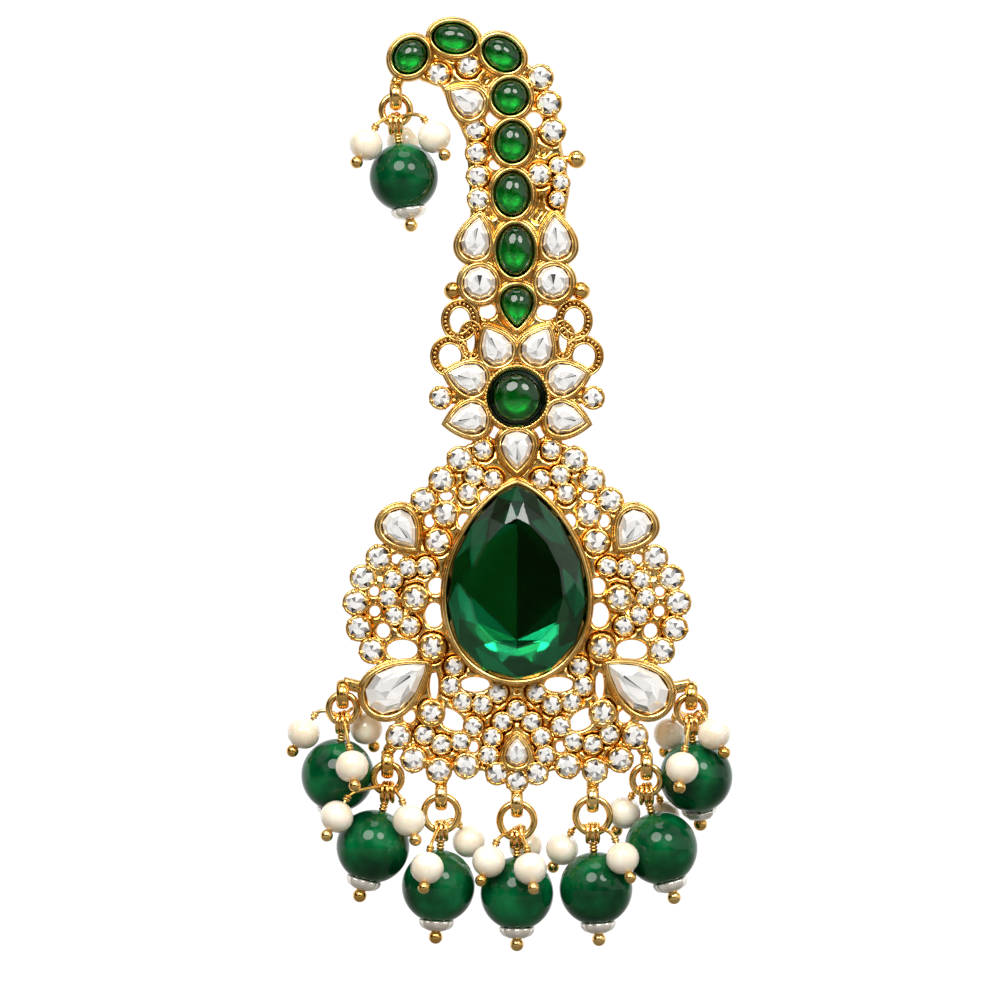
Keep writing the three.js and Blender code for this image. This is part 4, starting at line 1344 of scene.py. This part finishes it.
class ORNAMENT_OT_rhinestones(bpy.types.Operator):
    """Set the rhinestones in their clawed cups"""

    bl_idname = "ornament.rhinestones"
    bl_label = "Rhinestones"

    def execute(self, context):
        share = context.scene.ornament_sizes.claw_share
        plain, raised, stones = [], [], []
        for k, (at, size, _, rise) in enumerate(rhinestones()):
            spot = at_depth(at.x, FACE + rise, at.y)
            stones.append((spot, size, 0.35 * math.sin(7.3 * k) + 0.2 * k))
            (raised if rise else plain).append((spot, size, 0.4 * k))
        on_plate(
            scattered("cups", plain, cup(CUP_WALL / CUP_STONE), "cast", share),
            scattered("collars", raised, cup(COLLAR_WALL / CUP_STONE, claws=6), "cast", share))
        brilliants = scattered("rhinestones", stones, chaton(), "crystal")
        finish_piece(brilliants, "clear_stone", "plate")
        return {"FINISHED"}


class ORNAMENT_OT_stones(bpy.types.Operator):
    """Cut the clear pears and rounds, the cabochons and the centre stone"""

    bl_idname = "ornament.stones"
    bl_label = "Bezel-set stones"

    def execute(self, context):
        makers = {"cut": cut_stone, "cabochon": cabochon, "centre": centre_stone}
        for stone in bezel_stones():
            slot = "clear_stone" if stone["kind"] == "cut" else "green_stone"
            finish_piece(makers[stone["kind"]](stone), slot, stone["name"])
        return {"FINISHED"}


def pearl_place(drop, round_, low):
    """Where a pearl rests on its bead, with its direction outwards, in the drops' drawing."""
    turn = math.radians(round_)
    out = Vector((math.sin(turn), math.cos(turn), 0))
    to_bead = drop["bead_at"] - drop["low"]
    rest = drop["bead"] / 2 + PEARL / 2 + REST_GAP
    forward = out.x * to_bead.x + out.y * to_bead.y
    under = to_bead.x ** 2 + to_bead.y ** 2 + (to_bead.z + low) ** 2 - rest ** 2
    reach = forward + math.sqrt(forward ** 2 - under)
    return drop["low"] + out * reach + Vector((0, 0, -low)), out


def smoothed(first, second, third):
    """A bent wire's points: a curve from the first point past the second to the third."""
    shares = [i / 8 for i in range(9)]
    return [first.lerp(second, t).lerp(second.lerp(third, t), t) for t in shares]


def wraps(start, along, count, radius, pitch, width, steps):
    """Turns of wire side by side about a direction."""
    turns = []
    for k in range(count):
        path = circle(start + along * pitch * k * MM, radius, along, RIGHT, steps)
        turns.append(tube("wrap", path, width, closed=True))
    return turns


def drop_metal(drop):
    """The ring, the wires and the pearls of one drop."""
    wall = drop["loop"] + LOOP_BAND / 2
    down = turned(drop["down"])
    low, bead_at = put(drop["low"]), put(drop["bead_at"])
    path = circle(put(drop["ring"]), drop["radius"], BACK, UP, 48)
    ring = tube(drop["name"] + "_ring_wire", path, RING_WIRE, sides=14, closed=True)
    metal = []
    count = bpy.context.scene.ornament_sizes.wire_loops
    for k in range(count):
        aside = (k - (count - 1) / 2) * LOOP_WIDTH / max(count - 1, 1) * LOOP_SPREAD
        lean = RIGHT + LOOP_LEAN * (k - 1)
        path = circle(low + RIGHT * aside * MM, wall, lean, UP, 24)
        metal.append(tube("loop", path, PIN_WIRE, closed=True))
    under = drop["bead"] / 2 + CAP_GAP + CAP_HEIGHT + BALL * BALL_SINK
    ball_at = bead_at + down * under * MM
    metal.append(tube("head_pin", [low + down * wall * MM, ball_at], PIN_WIRE))
    metal += wraps(low + down * (wall + 0.2) * MM, down, 3, *HEAD_WRAP)
    metal.append(sphere("end_ball", ball_at, BALL, rows=12))
    pearls = []
    tilt = math.radians(PEARL_TILT)
    for round_, depth in drop["pearls"]:
        place, out = pearl_place(drop, round_, depth)
        axis = out * math.sin(tilt) - UP * math.cos(tilt)
        top = place - axis * (PEARL / 2 + PIN_WIRE)
        end = place + axis * (PEARL / 2 + BALL * BALL_SINK)
        over = RING_WIRE * 0.4 * (1 if out.y >= 0 else -1)
        start = drop["low"] + Vector((out.x * 0.25, over, RING_WIRE * 0.78))
        bent = smoothed(start, top - axis * PIN_BEND, top)
        metal.append(tube("pearl_pin", [put(v) for v in bent + [place, end]], PIN_WIRE))
        along = turned(axis)
        metal += wraps(put(top) - along * 0.3 * MM, along, 2, *PEARL_WRAP)
        path = circle(put(start), HOOK, BACK.cross(out) + HOOK_LEAN, out, 18)
        metal.append(tube("hook", path, HOOK_WIRE, closed=True))
        metal.append(sphere("end_ball", put(end), BALL * 0.9, rows=10))
        pearls.append(sphere("pearl", put(place), PEARL, "pearl", 20, PEARL_SQUASH, along))
    return ring, joined(drop["name"] + "_wires", metal), joined(drop["name"] + "_pearls", pearls)


def bead_mesh(drop):
    """A round bead with its drilled hole."""
    radius = drop["bead"] / 2
    hole = (PIN_WIRE / 2 + DRILL_GAP) / radius
    first = math.asin(hole)
    profile = []
    for i in range(BEAD_STEPS + 1):
        angle = first + (math.pi - 2 * first) * i / BEAD_STEPS
        profile.append((math.sin(angle) * radius, -math.cos(angle) * radius))
    profile += [(hole * radius * 0.98, along * 0.6) for _, along in (profile[-1], profile[0])]
    center, down = put(drop["bead_at"]), turned(drop["down"])
    side = down.orthogonal()
    rings = [circle(center + down * along * MM, reach, down, side, 56) for reach, along in profile]
    return outward(loft(drop["name"] + "_polished_bead", rings, "bead", "loop"))


def cap_mesh(drop):
    """A shallow stamped cup under the bead, with a scalloped rim."""
    down = turned(drop["down"])
    top = put(drop["bead_at"]) + down * (drop["bead"] / 2 + CAP_GAP) * MM
    rings = []
    for reach, along in CAP_PROFILE:
        ring = []
        for i, out in enumerate(around(down, down.orthogonal(), CAP_SIDES)):
            lobe = math.cos(2 * math.pi * CAP_LOBES * i / CAP_SIDES)
            wave = 1 + CAP_WAVE * lobe * (reach / CAP_RIM) ** 2
            ring.append(top + (out * reach * wave + down * along) * MM)
        rings.append(ring)
    return outward(loft(drop["name"] + "_cap", rings, "cap"))


class ORNAMENT_OT_drops(bpy.types.Operator):
    """Hang the drops: eyes, jump rings, loops, beads, caps and pearls"""

    bl_idname = "ornament.drops"
    bl_label = "Drops"

    def execute(self, context):
        eyes = []
        for drop in drop_frames():
            name = drop["name"]
            ring, wires, pearls = drop_metal(drop)
            finish_piece(ring, "gold_findings", name + "_ring")
            finish_piece(bead_mesh(drop), "green_bead", name + "_bead")
            for piece in (wires, pearls, cap_mesh(drop)):
                finish_piece(piece, "gold_findings", name + "_spray")
            center = put(drop["eye"])
            path = circle(center, drop["eye_radius"] + EYE_BAND / 2, RIGHT, UP, 40)
            eye = tube("eye", path, EYE_BAND, sides=16, closed=True)
            widen = Matrix.Diagonal((EYE_WIDTH / EYE_BAND, 1, 1, 1))
            eye.data.transform(Matrix.Translation(center) @ widen @ Matrix.Translation(-center))
            eyes.append(eye)
        on_plate(joined("eyes", eyes))
        return {"FINISHED"}


class ORNAMENT_OT_turban_pin(bpy.types.Operator):
    """Finish the turban pin behind the plate"""

    bl_idname = "ornament.turban_pin"
    bl_label = "Turban pin"

    def execute(self, context):
        top = FOOT[2] / 2 - TURBAN_WIRE / 2
        foot_back = FOOT_GAP + FOOT[1] / 2
        bend = STANDOFF * BEND_SHARE
        path = [at_depth(0, -foot_back, top)]
        for i in range(17):
            t = math.radians(90 * i / 16)
            back = STANDOFF - bend + bend * math.sin(t)
            path.append(at_depth(0, -back, top - bend + bend * math.cos(t)))
        shares = [1.0] * len(path)
        for i in range(1, 13):
            share = i / 12
            path.append(at_depth(0, -STANDOFF, top - bend - (TURBAN_PIN - bend) * share))
            shares.append(1.0 if share < 0.9 else 1.0 - 0.3 * (share - 0.9) / 0.1)
        wire = tube("prong", path, TURBAN_WIRE, sides=20, shares=shares)
        tip = sphere("tip", path[-1], TURBAN_WIRE * 1.02, rows=14)
        mesh = bpy.data.meshes.new("foot")
        place = Matrix.Translation(at_depth(0, -foot_back, 0)) @ Matrix.Diagonal((*FOOT, 1))
        with editing(mesh) as work:
            bmesh.ops.create_cube(work, size=MM)
            bmesh.ops.transform(work, matrix=place, verts=work.verts)
            bmesh.ops.bevel(
                work, geom=work.edges[:], offset=0.3 * MM, segments=3, affect="EDGES")
        foot = add_piece("foot", mesh, "wire", smooth=False)
        finish_piece(joined("bent_turban_pin", [wire, tip, foot]), "gold_findings", "turban_pin")
        return {"FINISHED"}


# Stage, in metres

PAPER_FRONT = -1.8
PAPER_SIDE = 1.6
PAPER = (
    (PAPER_FRONT, -0.085), (0.62, -0.085), (0.69, -0.075), (0.74, -0.03), (0.75, 0.05),
    (0.75, 1.2),
)
MIDDLE = Vector((0, -0.0084, 0.01))
CAMERA_AT = Vector((-0.00219, -0.546, 0.0057))
LAMPS = (
    ("Key softbox", (-0.16, -0.5, 0.4), 0.38, 3.3),
    ("Fill softbox", (0.27, -0.5, 0.38), 0.26, 1.8),
    ("Top strip", (0.0, -0.1, 0.6), 0.3, 0.8),
    ("Back light", (0.3, 0.4, 0.35), 0.3, 0.5),
)
LAMP_COLOR = (1.0, 0.985, 0.96)


def soft_world():
    """A world of soft light and dark zones, for the metal to throw back."""
    world = bpy.data.worlds.new("Soft studio")
    world.use_nodes = True
    tree = world.node_tree
    way = node(tree, "ShaderNodeTexCoord").outputs["Generated"]
    zones = node(tree, "ShaderNodeTexNoise", {"Vector": way, "Scale": 1.5, "Detail": 0.0})
    parts = {0: coordinate(tree, "Generated", "Z"), 1: 0.12, 2: zones.outputs["Fac"]}
    mixed = node(tree, "ShaderNodeMath", parts, operation="MULTIPLY_ADD").outputs[0]
    tones = ramp(tree, mixed, (0.4, "#2C2419"), (0.5, "#9A9184"), (0.58, "#FFFFFF"))
    feed(tree, tree.nodes["Background"], {"Color": tones, "Strength": 0.9})
    return world


class ORNAMENT_OT_stage(bpy.types.Operator):
    """Set the pale floor, the studio light and the camera"""

    bl_idname = "ornament.stage"
    bl_label = "Stage"

    def execute(self, context):
        scene = context.scene
        points, faces = [], []
        for y, z in PAPER:
            points += [(-PAPER_SIDE, y, z), (PAPER_SIDE, y, z)]
        for k in range(len(PAPER) - 1):
            faces.append((2 * k, 2 * k + 1, 2 * k + 3, 2 * k + 2))
        add_mesh("paper_sweep", points, faces, "paper")
        scene.world = soft_world()
        for name, place, size, power in LAMPS:
            lamp = bpy.data.lights.new(name, "AREA")
            lamp.shape = "DISK"
            lamp.size = size
            lamp.energy = power
            lamp.color = LAMP_COLOR
            light = bpy.data.objects.new(name, lamp)
            light.location = place
            aim = (MIDDLE - Vector(place)).to_track_quat("-Z", "Y")
            light.rotation_euler = aim.to_euler()
            scene.collection.objects.link(light)
        eye = bpy.data.cameras.new("Front")
        eye.lens = 150
        eye.clip_start = 0.01
        camera = bpy.data.objects.new("Front", eye)
        camera.location = CAMERA_AT
        camera.rotation_euler = (math.radians(90), 0, 0)
        scene.collection.objects.link(camera)
        scene.camera = camera
        scene.view_settings.view_transform = "Standard"
        return {"FINISHED"}


class ORNAMENT_PT_panel(bpy.types.Panel):
    """Lists the ornament's pieces, sizes and colours"""

    bl_idname = "ORNAMENT_PT_panel"
    bl_label = "Turban ornament"
    bl_space_type = "VIEW_3D"
    bl_region_type = "UI"
    bl_category = "Ornament"

    def draw(self, context):
        for group in (context.scene.ornament_sizes, context.scene.ornament_finishes):
            for key in group.__annotations__:
                self.layout.prop(group, key)
        for operator in OPERATORS:
            self.layout.operator(operator.bl_idname)


OPERATORS = (
    ORNAMENT_OT_stage, ORNAMENT_OT_web, ORNAMENT_OT_bezels, ORNAMENT_OT_rhinestones,
    ORNAMENT_OT_stones, ORNAMENT_OT_drops, ORNAMENT_OT_turban_pin,
)
CLASSES = (OrnamentSizes, OrnamentFinishes) + OPERATORS + (ORNAMENT_PT_panel,)


def register():
    for kind in CLASSES:
        bpy.utils.register_class(kind)
    bpy.types.Scene.ornament_sizes = bpy.props.PointerProperty(type=OrnamentSizes)
    bpy.types.Scene.ornament_finishes = bpy.props.PointerProperty(type=OrnamentFinishes)


def unregister():
    del bpy.types.Scene.ornament_finishes
    del bpy.types.Scene.ornament_sizes
    for kind in reversed(CLASSES):
        bpy.utils.unregister_class(kind)


def main():
    register()
    bpy.ops.ornament.stage()
    bpy.ops.ornament.web()
    bpy.ops.ornament.bezels()
    bpy.ops.ornament.rhinestones()
    bpy.ops.ornament.stones()
    bpy.ops.ornament.drops()
    bpy.ops.ornament.turban_pin()


if __name__ == "__main__":
    main()
